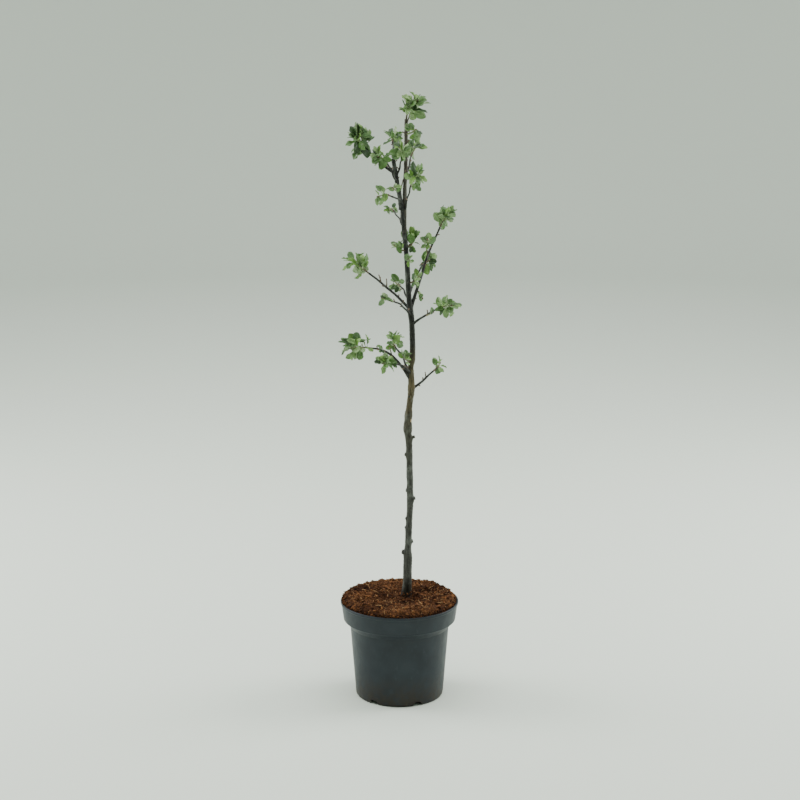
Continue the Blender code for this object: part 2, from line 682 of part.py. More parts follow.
def main():
    clear_scene()
    home = collection("dwarf_apple_tree")
    cutters = collection("cutters", hidden=True)
    finishes = {name: material(name) for name in FINISHES}

    build_pot(home, cutters, finishes["pot"])
    build_soil(home, finishes["soil"])

    lines = {"trunk": trunk_line()}
    for name, limb in LIMBS.items():
        lines[name] = limb_line(name, limb, lines)
    build_trunk(lines["trunk"], home, finishes["bark"])
    rooms = {}
    for name in UPRIGHTS:
        sides = TRUNK_DETAIL if name == "trunk" else LIMB_DETAIL
        rooms[name] = add_room(name, lines[name], cutters, sides)
    for name in LIMBS:
        springs_from = [rooms[other] for other in UPRIGHTS if other != name]
        if name == UPRIGHTS[1]:
            springs_from = [rooms[UPRIGHTS[0]]]
        build_limb(name, lines[name], home, finishes["bark"], springs_from)

    segments = segments_of(lines)
    for name, mass in MASSES.items():
        build_mass(name, mass, lines, segments, home, finishes["foliage"])


main()
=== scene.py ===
"""The looks of a dwarf apple tree in a five litre nursery pot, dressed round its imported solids.

Metres, +Z up. The origin is the middle of the pot's flat underside. Seen from the front, +X is
to the right and +Y points away. An azimuth of 0 points along +X and of 90 along +Y.
"""
import json
import random
from bisect import bisect_left
from collections import namedtuple
from math import acos, atan2, cos, degrees, exp, hypot, inf, pi, radians, sin, sqrt, tau

import bmesh
import bpy
import numpy as np
from mathutils import Matrix, Vector, noise

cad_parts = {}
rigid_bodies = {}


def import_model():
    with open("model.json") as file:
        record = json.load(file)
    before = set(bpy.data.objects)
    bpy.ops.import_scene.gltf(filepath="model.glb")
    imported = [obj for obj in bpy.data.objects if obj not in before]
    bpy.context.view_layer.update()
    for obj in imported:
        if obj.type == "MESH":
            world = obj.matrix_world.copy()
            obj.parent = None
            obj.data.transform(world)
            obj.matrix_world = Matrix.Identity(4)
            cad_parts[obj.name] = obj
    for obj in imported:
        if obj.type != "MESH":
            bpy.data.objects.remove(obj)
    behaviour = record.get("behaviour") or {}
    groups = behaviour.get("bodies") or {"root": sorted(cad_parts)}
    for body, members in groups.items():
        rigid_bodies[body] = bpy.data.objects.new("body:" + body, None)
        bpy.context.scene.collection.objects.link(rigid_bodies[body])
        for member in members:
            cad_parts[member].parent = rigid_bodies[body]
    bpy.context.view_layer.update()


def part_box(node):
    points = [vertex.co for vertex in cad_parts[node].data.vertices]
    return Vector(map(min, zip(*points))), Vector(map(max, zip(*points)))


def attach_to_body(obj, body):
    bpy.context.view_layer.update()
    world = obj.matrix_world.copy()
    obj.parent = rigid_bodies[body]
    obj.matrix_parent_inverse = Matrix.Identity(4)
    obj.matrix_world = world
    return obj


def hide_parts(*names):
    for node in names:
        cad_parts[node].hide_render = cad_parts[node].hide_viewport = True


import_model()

UP = Vector((0, 0, 1))
MILLI = 0.001
GOLDEN = radians(137.5)

# Clearances, as in the solids
CLEAR = 0.0003
LEAF_CLEAR = 0.0008

# Pot
POT_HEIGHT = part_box("pot")[1].z
RIM_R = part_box("pot")[1].x
POT_FOOT_R = 0.0800
POT_LEDGE_R = 0.0905
POT_LEDGE_Z = 0.1315
COLLAR_FOOT_R = 0.1026
COLLAR_FOOT_Z = 0.1445
COLLAR_TOP_R = 0.1066
RIM_DEPTH = 0.0055
POT_WALL = 0.0020
POT_FLOOR = 0.0092
FOOT_CHAMFER = 0.0025
FOOT_SWELL = 0.0005
FOOT_INSET = 0.0015
POT_STEPS = 216
TURNED_MERGE = 0.00002
# Rounding of the pot's edges: radius, the most of a side that it takes, and steps
EDGE_R = 0.0012
EDGE_SHARE = 0.45
EDGE_STEPS = 4
SHARP_FROM = 38
DRAIN_SLOTS = 6
DRAIN_PHASE = 24.0
# Drain notches: length, width at the top, width at the floor, and height
DRAIN_SIZE = (0.030, 0.0120, 0.0210, 0.0080)
DRAIN_ROUND = 0.22

# Soil
SOIL_EDGE_Z = 0.1785
SOIL_CREST_R = 0.0900
SOIL_CREST_Z = 0.1885
SOIL_SEAT_R = 0.0300
SOIL_SEAT_Z = 0.1845
SOIL_TOP_Z = SOIL_CREST_Z + 0.0045
SOIL_RINGS = 110
SOIL_SECTORS = 330
# How far the mound's edge is tucked down and in
SOIL_TUCK = (0.012, 0.002)
# Radii and heights of the mound without its lumps
SOIL_PROFILE = (
    (0.0, SOIL_SEAT_Z), (SOIL_SEAT_R, SOIL_SEAT_Z),
    ((SOIL_SEAT_R + SOIL_CREST_R) / 2, (SOIL_SEAT_Z + SOIL_CREST_Z) / 2),
    (SOIL_CREST_R, SOIL_CREST_Z), ((SOIL_CREST_R + COLLAR_TOP_R) / 2, SOIL_CREST_Z - 0.0015),
    (COLLAR_TOP_R, SOIL_EDGE_Z + 0.0005),
)
# Lumps of the peat: width and height, and hollows in it: place, half widths and depth
SOIL_LUMPS = ((0.024, 0.0050), (0.010, 0.0034), (0.0042, 0.0020), (0.0018, 0.0012))
HOLLOWS = ((0.050, 0.036, 0.019, 0.014, 0.0100), (-0.040, 0.004, 0.015, 0.011, 0.0060))
# The lumps are lower in the middle and at the rim: share left, and how far they take to rise
CALM_MIDDLE = (0.35, 0.006, 0.020)
CALM_RIM = (0.40, 0.012)
# Where the peat has sunk below the rim: azimuth, half width and depth
SUNK_SIDE = (17, 38, 0.0034)
# Peat heaped round the trunk's foot: height and reach
HEAP = (0.0035, 0.016)

# Litter on the peat. A skew above 1 makes more of the crumbs small.
CRUMBS = 5200
CRUMB_R = (0.0004, 0.0024)
CRUMB_SKEW = 3.4
CRUMB_KINDS = ("crumb_dark", "crumb_mid", "crumb_rust")
CRUMB_SHARES = (0.32, 0.42, 0.26)
# Crumbs over this radius have a finer mesh
FINE_CRUMB_R = 0.0014
CRUMB_SINK = 0.15
# A crumb's knocks: depth and how fine, and the ranges of its length, width and height
CRUMB_KNOCKS = (0.75, 1.9)
CRUMB_SHAPE = ((0.8, 2.2), (0.6, 1.1), (0.35, 0.85))
CRUMB_SPIN = 6.3
TRUNK_ROOM = 0.0085
# Crumbs that lie along the rim: share of them, how far past the collar and how far they stray
RIM_CRUMBS = (0.24, 0.0008, 0.003)
RIM_ROOM = 2.0
# How much farther in the crumbs lie where the peat has sunk: those along the rim, and the rest
SUNK_BACK = (0.006, 0.003)
# Crumbs that cling to the trunk's foot: number, how high most lie and how many times that the
# highest does, skew and share of the full radius
CLINGING = (170, 0.0075, 2.2, 2.6, 0.8)
CLINGING_SHARES = (0.46, 0.38, 0.16)
CLING_SINK = 0.2
FIBRES = 420
FIBRE_R = 0.00026
FIBRE_STRAY = (0.7, 1.6)
FIBRE_LENGTH = (0.004, 0.015)
FIBRE_SIDES = 5
FIBRE_STEPS = 8
FIBRE_CURL = 1.2
FIBRE_LIFT = 0.0006
FIBRE_WAVE = (0.0007, 0.8)
PALE_FIBRES = 0.35
STRAWS = 26
STRAW_R = 0.0006
STRAW_STRAY = (0.6, 1.2)
STRAW_TAPER = (0.7, 1.0, 0.6)
STRAW_LENGTH = (0.005, 0.014)
STRAW_LIFTS = (0.8, 3.0)
STRAW_SIDES = 6
# How far in from the collar the fibres and the straws start
LITTER_IN = (0.006, 0.022)

# Trunk: bends of its middle line as height and offset to the right
GROUND_Z = SOIL_SEAT_Z + CLEAR
TRUNK_BENDS = (
    (GROUND_Z, 0.0122), (0.205, 0.0138), (0.255, 0.0152), (0.312, 0.0168), (0.369, 0.0192),
    (0.440, 0.0180), (0.472, 0.0173), (0.501, 0.0148), (0.535, 0.0170), (0.577, 0.0212),
    (0.615, 0.0203), (0.646, 0.0232), (0.697, 0.0218), (0.737, 0.0170), (0.800, 0.0134),
    (0.870, 0.0073), (0.905, 0.0036),
)
TRUNK_TOP_Z = 0.905
TRUNK_SWAY = 0.0030
TRUNK_SWAYS = 2.5
# Radii of the trunk at heights along it
TRUNK_RADII = (
    (GROUND_Z, 0.0064), (0.330, 0.0058), (0.390, 0.0057), (0.450, 0.0059), (0.520, 0.0057),
    (0.580, 0.0055), (0.640, 0.0052), (0.720, 0.0048), (0.800, 0.0044), (0.905, 0.0040),
)
FLARE_R = 0.0038
FLARE_HEIGHT = 0.0080
BUTT_R = 0.0018
BUTT_TOP_Z = 0.266
SHOULDER_HEIGHT = 0.020
SHOULDER_CUT = 0.55
# Knuckles of the bark: height, extra radius and half height
KNUCKLES = (
    (0.502, 0.0024, 0.010), (0.526, 0.0014, 0.010), (0.577, 0.0010, 0.009),
    (0.628, 0.0013, 0.007), (0.715, 0.0008, 0.012),
)
# Pruned stubs: height, azimuth, radius and how far they stand out of the bark
STUBS = (
    (0.268, 188, 0.0048, 0.0050), (0.289, 5, 0.0036, 0.0030), (0.3155, 175, 0.0024, 0.0020),
    (0.333, 190, 0.0028, 0.0018), (0.350, 268, 0.0030, 0.0016), (0.371, 352, 0.0036, 0.0040),
    (0.387, 184, 0.0040, 0.0022), (0.410, 78, 0.0034, 0.0024), (0.453, 186, 0.0036, 0.0030),
    (0.484, 2, 0.0030, 0.0062), (0.560, 250, 0.0030, 0.0016), (0.606, 60, 0.0030, 0.0020),
)
# A stub's shape: shares of the trunk's radius and of how far it stands out, and width
STUB_SHAPE = (
    (0.0, 0.0, 1.35), (0.7, 0.0, 1.30), (1.0, 0.0, 1.12), (1.0, 0.45, 0.92), (1.0, 0.85, 0.84),
    (1.0, 1.0, 0.66),
)
STUB_LEAN = 0.25
STUB_SIDES = 20
# Callus round a stub: half width and half height to its radius, and height to how far it stands
CALLUS = (1.35, 1.7, 0.42)
CALLUS_ENDS = 2.5

# Limbs: each leaves its parent's middle line at a height and reaches out to its tip
Limb = namedtuple("Limb", "parent height azimuth reach rise root_r tip_r bow")
LIMBS = {name: Limb(*row) for name, *row in (
    ("leader_left", "trunk", 0.8980, 186, 0.0158, 0.0890, 0.0043, 0.0036, 0.000),
    ("leader_right", "trunk", 0.8560, 25, 0.0036, 0.1990, 0.0036, 0.0030, 0.004),
    ("bough_low_left", "trunk", 0.5900, 200, 0.0735, 0.0640, 0.0030, 0.0017, 0.016),
    ("bough_low_right", "trunk", 0.5730, 31, 0.0520, 0.0330, 0.0026, 0.0016, -0.001),
    ("bough_low_back", "trunk", 0.5950, 118, 0.0600, 0.0450, 0.0024, 0.0015, 0.008),
    ("bough_low_front", "trunk", 0.6040, 240, 0.0740, 0.0300, 0.0026, 0.0015, 0.006),
    ("bough_mid_left", "trunk", 0.7200, 153, 0.0830, 0.0590, 0.0027, 0.0016, 0.003),
    ("bough_mid_front", "trunk", 0.7080, 243, 0.0740, 0.0380, 0.0022, 0.0013, 0.006),
    ("bough_mid_back", "trunk", 0.7300, 107, 0.0560, 0.0230, 0.0021, 0.0013, 0.005),
    ("bough_mid_right", "trunk", 0.6930, 316, 0.0690, 0.0390, 0.0024, 0.0014, 0.002),
    ("bough_upper_right", "trunk", 0.7180, 40, 0.0690, 0.1430, 0.0031, 0.0017, 0.010),
    ("bough_upper_back", "trunk", 0.7450, 73, 0.0880, 0.0420, 0.0025, 0.0014, 0.006),
    ("bough_thin_left", "trunk", 0.8650, 112, 0.0500, 0.0250, 0.0018, 0.0011, 0.002),
    ("bough_small_left", "leader_left", 0.9150, 238, 0.0430, 0.0130, 0.0019, 0.0012, 0.000),
    ("bough_inner", "leader_left", 0.9390, 246, 0.0480, 0.0470, 0.0021, 0.0013, 0.003),
    ("bough_top_left", "leader_left", 0.9600, 205, 0.0560, 0.0470, 0.0026, 0.0015, -0.004),
    ("bough_high_left", "leader_left", 0.9700, 96, 0.0440, 0.0420, 0.0020, 0.0012, 0.003),
    ("bough_spur", "leader_left", 0.9520, 295, 0.0220, 0.0360, 0.0018, 0.0012, 0.001),
    ("bough_fork_right", "leader_right", 0.8950, 292, 0.0300, 0.0500, 0.0019, 0.0012, 0.002),
    ("bough_high_back", "leader_right", 0.9380, 80, 0.0640, 0.0470, 0.0022, 0.0013, 0.004),
)}
LEADERS = ("leader_left", "leader_right")
LIMB_RINGS = 8
COLLAR_SWELL = 0.35
COLLAR_LENGTH = 0.006
WANDER = 0.0012
WANDER_WAVES = (1.2, 2.0)
TAPER = 0.8

# Masses of leaves: middle and half sizes in millimetres, number of leaves and a leaf's length,
# and the seeds of the leaves that the solids have and of the finer ones. A mass with a height
# grows straight from its parent there, and any other from its bough's tip.
Mass = namedtuple("Mass", "parent height middle half count leaf seed finer")
MASSES = {name: Mass(*row) for name, *row in (
    ("leaves_low_left", "bough_low_left", None, (-76, -36, 658), (37, 28, 28), 11, 26, 146, 6),
    ("leaves_low_right", "bough_low_right", None, (70, 33, 611), (17, 18, 22), 4, 20, 138, 90),
    ("leaves_low_back", "bough_low_back", None, (-10, 64, 650), (21, 25, 23), 7, 25, 48, 79),
    ("leaves_low_front", "bough_low_front", None, (-26, -80, 638), (23, 24, 20), 8, 26, 34, 3),
    ("leaves_low_foot", "bough_low_left", 0.648, (-36, -34, 653), (12, 12, 11), 2, 19, 389, 53),
    ("leaves_trunk_low", "trunk", 0.627, (9, -18, 637), (14, 16, 17), 4, 21, 55, 22),
    ("leaves_mid_left", "bough_mid_left", None, (-78, 45, 795), (30, 27, 30), 9, 26, 332, 106),
    ("leaves_mid_front", "bough_mid_front", None, (-25, -75, 751), (17, 19, 15), 4, 24, 291, 53),
    ("leaves_mid_back", "bough_mid_back", None, (-7, 66, 757), (18, 22, 19), 5, 23, 38, 109),
    ("leaves_mid_right", "bough_mid_right", None, (84, -59, 736), (27, 27, 24), 8, 24, 242, 16),
    ("leaves_mid_foot", "bough_mid_right", 0.716, (57, -48, 722), (12, 12, 11), 2, 20, 218, 56),
    ("leaves_upper_foot", "bough_upper_right", 0.752, (39, 8, 742), (10, 11, 13), 2, 17, 312, 56),
    ("leaves_upper_mid", "bough_upper_right", 0.826, (51, 17, 838), (17, 17, 19), 6, 22, 49, 52),
    ("leaves_upper_right", "bough_upper_right", None, (82, 51, 877), (27, 27, 26), 9, 25, 14, 63),
    ("leaves_upper_back", "bough_upper_back", None, (53, 99, 790), (20, 23, 26), 7, 24, 423, 67),
    ("leaves_thin_left", "bough_thin_left", None, (-16, 57, 892), (15, 17, 14), 4, 19, 197, 85),
    ("leaves_small_left", "bough_small_left", None, (-33, -48, 927), (17, 18, 22), 5, 22, 6, 16),
    ("leaves_inner", "bough_inner", None, (-33, -60, 994), (21, 22, 24), 7, 24, 357, 61),
    ("leaves_top_left", "bough_top_left", None, (-69, -35, 1020), (30, 27, 36), 12, 26, 110, 87),
    ("leaves_high_left", "bough_high_left", None, (-13, 56, 1018), (22, 22, 22), 8, 24, 497, 4),
    ("leaves_spur", "bough_spur", None, (2, -30, 1003), (23, 20, 20), 9, 23, 422, 99),
    ("leaves_fork_right", "bough_fork_right", None, (29, -37, 959), (21, 21, 29), 8, 23, 35, 3),
    ("leaves_high_back", "bough_high_back", None, (29, 77, 998), (23, 24, 23), 7, 25, 233, 14),
    ("leaves_leader_left", "leader_left", 0.931, (-10, -20, 937), (16, 15, 12), 3, 22, 235, 48),
    ("leaves_side", "leader_right", 1.030, (24, -12, 1036), (18, 20, 18), 6, 22, 351, 63),
    ("leaves_top", "leader_right", None, (26, 0, 1079), (33, 28, 28), 12, 25, 253, 95),
    ("leaves_trunk_left", "trunk", 0.826, (-5, -10, 833), (16, 17, 14), 4, 21, 166, 93),
    ("leaves_trunk_right", "trunk", 0.832, (25, 5, 843), (14, 16, 27), 6, 20, 192, 27),
    ("leaves_trunk_front", "trunk", 0.803, (15, -20, 811), (12, 15, 13), 3, 19, 481, 2),
    ("leaves_trunk_rear", "trunk", 0.840, (5, 28, 846), (14, 17, 15), 4, 20, 496, 69),
    ("leaves_trunk_knot", "trunk", 0.768, (30, -6, 776), (13, 15, 19), 4, 18, 44, 61),
)}
STEM_RINGS = 5
STEM_PAST = 0.30
STEM_BEND = 0.4
SPACE_APART = 0.06
LEAF_WIDTH = 0.62
LEAF_FOLD = 0.16
LEAF_DROOP = 0.18
# Places on a leaf that are tried for room: along it, and across it in half widths
LEAF_PLACES = ((0.15, 0), (0.5, 1), (0.5, -1), (0.5, 0), (0.8, 0.7), (0.8, -0.7), (1.0, 0))
LEAF_TRIES = 14
# Where the twigs leave the stem, and how wide they open round it
TWIGS_FROM = 0.25
TWIGS_RUN = 0.72
TWIGS_OPEN = 1.75
OPEN_STRAY = 0.25
SPIN_STRAY = 0.4
STRAY_MORE = 0.3
REACH = (0.86, 0.99)
TWIG_STEPS = (0.35, 0.7, 1.0)
LEAF_LENGTHS = (0.78, 1.18)
LEAF_SLOPES = (-0.45, 0.25)
FOOT_GAP = 0.22
FOOT_LENGTH = 0.62
# How a leaf's face strays, looks up and looks out
FACE = (0.6, 0.5, 0.8)
# Finer leaves: places tried for each, ones at the stem's tip, where on a twig they start,
# how they lean and rise, and their length and stalk
FINER_TRIES = 10
TIP_LEAVES = 3
FINER_FEET = (0.1, 0.5)
FINER_LEAN = 0.9
FINER_RISE = 0.15
FINER_LENGTHS = (0.55, 0.95)
FINER_STALKS = (0.25, 0.55)
FINER_FACE = (0.7, 0.6, 0.3)

# Bark: size of a mesh cell along and around each kind of limb
TRUNK_RING = 0.016
TRUNK_SIDES = 56
TRUNK_CELL = 0.0014
LEADER_SIDES = 36
BOUGH_SIDES = 24
BOUGH_CELL = 0.0010
# Relief of the bark: width, length and height of each kind of mark
BARK_MARKS = ((0.0130, 0.022, 0.00055), (0.0024, 0.012, 0.00026), (0.0011, 0.0040, 0.00014))
LENTICEL = (0.0030, 0.0013, 0.00034)
# A lenticel is where its noise is over a level, and how steeply it rises from there
LENTICEL_RISE = (0.32, 2.4)
# The radius of limb from which the marks have their full height
FULL_RELIEF_R = 0.004
# Ring scars: gap, the first one's place to it and how it strays, height and how that strays,
# half width, and where their bell ends
SCAR_EVERY = 0.017
SCAR_FIRST = (0.2, 1.0)
SCAR_GAPS = (0.35, 1.6)
SCAR_HEIGHT = 0.00045
SCAR_SHARES = (0.4, 1.0)
SCAR_HALF = 0.0011
SCAR_ENDS = 3
NOISE_FAR = 99
# Pale and dark scars on the trunk: height, azimuth, half width, half height, material
SCARS = (
    (0.5185, -38, 0.0026, 0.0052, "cut_pale"), (0.262, -62, 0.0030, 0.0026, "cut_dark"),
    (0.428, 248, 0.0020, 0.0024, "cut_dark"), (0.594, 282, 0.0018, 0.0030, "cut_pale"),
)
PATCH_RINGS = 5
PATCH_SECTORS = 18
# How ragged a patch is and how fine, its height and how deep its edge starts, and its underside
PATCH_RAGGED = (0.16, 900)
PATCH_LIFT = (0.0007, 0.0004)
PATCH_UNDER = (0.0015, 0.8)
# Bare spurs: limb, place along it, azimuth, slope and length
SPURS = (
    ("bough_low_left", 0.50, 200, 76, 0.0150), ("bough_low_left", 0.30, 150, 40, 0.0060),
    ("bough_mid_left", 0.70, 190, 80, 0.0135), ("bough_mid_left", 0.56, 60, 84, 0.0140),
    ("bough_upper_right", 0.60, 200, 80, 0.0190), ("bough_upper_right", 0.50, 330, 35, 0.0095),
    ("leader_left", 0.30, 20, 72, 0.0260), ("leader_left", 0.93, 5, 20, 0.0050),
    ("leader_right", 0.93, 20, 74, 0.0230), ("leader_right", 0.86, 200, 35, 0.0060),
    ("bough_mid_right", 0.55, 250, 60, 0.0070), ("bough_low_right", 0.60, 120, 65, 0.0080),
)
# Small spurs along every bough: gap, its stray, the first one's place and the last's
SPUR_EVERY = 0.026
SPUR_GAPS = (0.45, 1.3)
SPUR_FIRST = (0.5, 0.9)
SPUR_LAST = 0.97
SPUR_LENGTHS = (0.0004, 0.0042)
SPUR_ALONG = 0.8
SPUR_RISE = 0.3
SPUR_R = (0.00130, 0.00085)
SPUR_RING = 0.0012
SPUR_SIDES = 9
SPUR_SWAY = 0.1
# Knobs along a spur: height to its radius, and gap
SPUR_KNOBS = (0.22, 0.0022)
SPUR_BUD = 0.0036
# A bud's shape: place along it and radius, to its length
BUD_SHAPE = ((0.0, 0.17), (0.18, 0.30), (0.42, 0.34), (0.66, 0.25), (0.86, 0.12), (1.0, 0.02))
BUD_SIDES = 7
BUD_SUNK = 0.0004
# A mass's stem in its looks
SHOOT_RINGS = 28
SHOOT_SIDES = 10
SHOOT_R = (0.00155, 0.00075)
SHOOT_SUNK = 0.003
SHOOT_KNOBS = 0.30
SHOOT_BUD = 0.0042

# Leaves
BLADE_ROWS = 20
BLADE_COLUMNS = (-1.0, -0.58, -0.13, 0.0, 0.13, 0.58, 1.0)
BLADE_THICK = 0.00042
BLADE_THIN = 0.6
# The outline: how fast it opens and closes, where its tip starts, how much narrower that is,
# the least width and the height of a tooth
BLADE_OPENS = 0.46
BLADE_CLOSES = 0.54
BLADE_TIP = (0.8, 0.26)
BLADE_LEAST = 0.035
BLADE_TOOTH = 0.020
# Veins: number, how far they lean to the tip, and depth, and the depth of the midrib
VEINS = 7
VEIN_LEAN = 1.6
VEIN_DEPTH = 0.0075
RIB_DEPTH = 0.010
# Ranges dealt to each leaf: width, fold, droop, twist, height and number of waves, and bend
BLADE_WIDTHS = (0.62, 0.80)
BLADE_FOLDS = (0.05, 0.50)
BLADE_DROOPS = (-0.1, 0.9)
BLADE_TWISTS = (-0.35, 0.35)
BLADE_WAVES = (0.02, 0.085)
BLADE_WAVE_COUNTS = (1.2, 2.6)
BLADE_BENDS = (-0.16, 0.16)
# The small leaves are narrower and more folded
SMALL_WIDTH = 0.85
SMALL_FOLD = 0.1
# The fold opens towards the tip, the foot rises before it droops, and the sides' waves differ
FOLD_OPENS = 0.35
DROOP_RISE = 0.25
SIDE_PHASE = 1.9
PETIOLE_R = (0.00055, 0.00042)
PETIOLE_SAGS = (0.02, 0.12)
PETIOLE_RINGS = 5
PETIOLE_SIDES = 5
RIB_ROWS = 3
RIB_TAPER = 0.75
RIB_SUNK = 0.7
TINTS = ("leaf_deep", "leaf_mid", "leaf_bright", "leaf_young")
TINT_SHARES = (0.19, 0.42, 0.29, 0.10)
SMALL_TINT_SHARES = (0.10, 0.28, 0.32, 0.30)
# The height that parts the two pieces of leaves
PARTING_Z = 0.86

# Camera
CAMERA_AT = (0.0009, -3.4, 1.321)
CAMERA_TILT = 12.70
CAMERA_FOCAL = 1942 / 800
SENSOR = 36.0

# Studio: floor, walls that sweep up, sky, and lights as place, aim, width, height and watts
FLOOR_R = 5.0
BOWL_R = 7.5
BOWL_HEIGHT = 5.0
BOWL_STEPS = 12
FLOOR_STEPS = 96
FLOOR_COLOUR = (0.66, 0.72, 0.63, 1.0)
SKY_COLOUR = (0.94, 0.97, 1.0, 1.0)
SKY_STRENGTH = 0.72
LIGHTS = {
    "left": ((-2.3, 0.6, 1.45), (0.0, 0.0, 0.4), 1.4, 1.9, 62),
    "right": ((2.3, 0.7, 1.45), (0.0, 0.0, 0.4), 1.4, 1.9, 67),
    "top": ((0.0, 0.4, 4.6), (0.0, 0.2, 0.0), 6.0, 6.0, 240),
}

# Tones of the bark from the ground up, as share of the way to BARK_TOP_Z and sRGB colour. The
# right leader's bark is lighter and browner, and the boughs' is young and dark.
BARK_TOP_Z = 1.05
BARKS = {
    "bark": (
        (0.00, (24, 21, 13)), (0.020, (34, 31, 22)), (0.045, (72, 73, 68)), (0.12, (58, 59, 55)),
        (0.20, (67, 68, 63)), (0.27, (58, 60, 55)), (0.37, (70, 69, 58)), (0.44, (90, 80, 54)),
        (0.51, (72, 66, 46)), (0.55, (42, 43, 38)), (0.61, (38, 40, 36)), (0.82, (36, 39, 36)),
        (1.00, (54, 55, 51)),
    ),
    "bark_pale": ((0.00, (62, 62, 55)), (0.80, (68, 66, 58)), (1.00, (84, 78, 68))),
    "bark_bough": ((0.00, (44, 43, 38)), (0.60, (38, 40, 36)), (1.00, (44, 45, 41))),
}
# Marks in the bark: size, detail, roughness and how much each axis is squeezed
BARK_STRAY = (0.02, 4.0)
BARK_STREAKS = (0.0035, 6.0, 0.65, (1, 1, 0.22))
BARK_CRACKS = (0.0016, 5.0, 0.6, (1, 1, 0.12))
BARK_PATCHES = (0.014, 5.0, 0.6, (1, 1, 0.6))
BARK_GRAIN = (0.0016, 6.0, 0.7, (1, 1, 0.35))
BARK_DOTS = (0.0040, (1, 1, 2.6))
# How much darker the bark is in streaks and cracks, and the peat in patches and painted shade
STREAK_SHADE = (0.34, 0.33, 0.30, 1.0)
CRACK_SHADE = (0.20, 0.19, 0.17, 1.0)
PEAT_SHADE = (0.34, 0.28, 0.24, 1.0)
# Heights between which the dark foot of the trunk ends, and soil dusts the pot
DARK_FOOT = (GROUND_Z + 0.010, GROUND_Z + 0.026)
DUSTY_FOOT = (0.060, 0.004)

# Peat and its crumbs: dark, middle and light tone
PEATS = {
    "peat": ((31, 16, 8), (71, 44, 24), (112, 75, 45)),
    "crumb_dark": ((30, 15, 8), (54, 31, 17), (78, 48, 28)),
    "crumb_mid": ((56, 33, 18), (84, 54, 32), (112, 76, 46)),
    "crumb_rust": ((94, 57, 31), (126, 82, 48), (152, 108, 68)),
}
# Mottled finishes: dark and light tone, size of the clouds, roughness, specular and grain
MOTTLED = {
    "fibre": ((124, 92, 58), (176, 140, 94), 0.006, 0.85, 0.3, 0.0),
    "cut_dark": ((40, 44, 36), (66, 68, 56), 0.003, 0.8, 0.3, 0.0003),
    "cut_pale": ((146, 128, 96), (178, 160, 124), 0.003, 0.75, 0.3, 0.0002),
    "twig": ((72, 62, 48), (104, 92, 72), 0.005, 0.75, 0.35, 0.0002),
    "shoot": ((104, 112, 74), (128, 130, 92), 0.006, 0.6, 0.4, 0.0001),
    "petiole": ((126, 148, 92), (164, 176, 132), 0.008, 0.5, 0.45, 0.0),
    "bud": ((84, 66, 54), (124, 104, 88), 0.003, 0.7, 0.3, 0.0001),
}
# Leaves: tone and roughness
LEAF_TONES = {
    "leaf_deep": ((42, 72, 27), 0.44),
    "leaf_mid": ((68, 105, 40), 0.46),
    "leaf_bright": ((98, 136, 56), 0.50),
    "leaf_young": ((118, 149, 90), 0.60),
    "leaf_deep_under": ((84, 112, 73), 0.70),
    "leaf_mid_under": ((104, 134, 89), 0.70),
    "leaf_bright_under": ((124, 155, 100), 0.70),
    "leaf_young_under": ((148, 169, 129), 0.75),
}


# Materials

def srgb(red, green, blue):
    """The linear colour, with an alpha of 1, of an sRGB colour given from 0 to 255."""
    return (*(
        value / 12.92 if value <= 0.04045 else ((value + 0.055) / 1.055) ** 2.4
        for value in (red / 255, green / 255, blue / 255)
    ), 1.0)


# Materials by name, apart from Blender's own list, where others may have the same names
FINISHES = {}


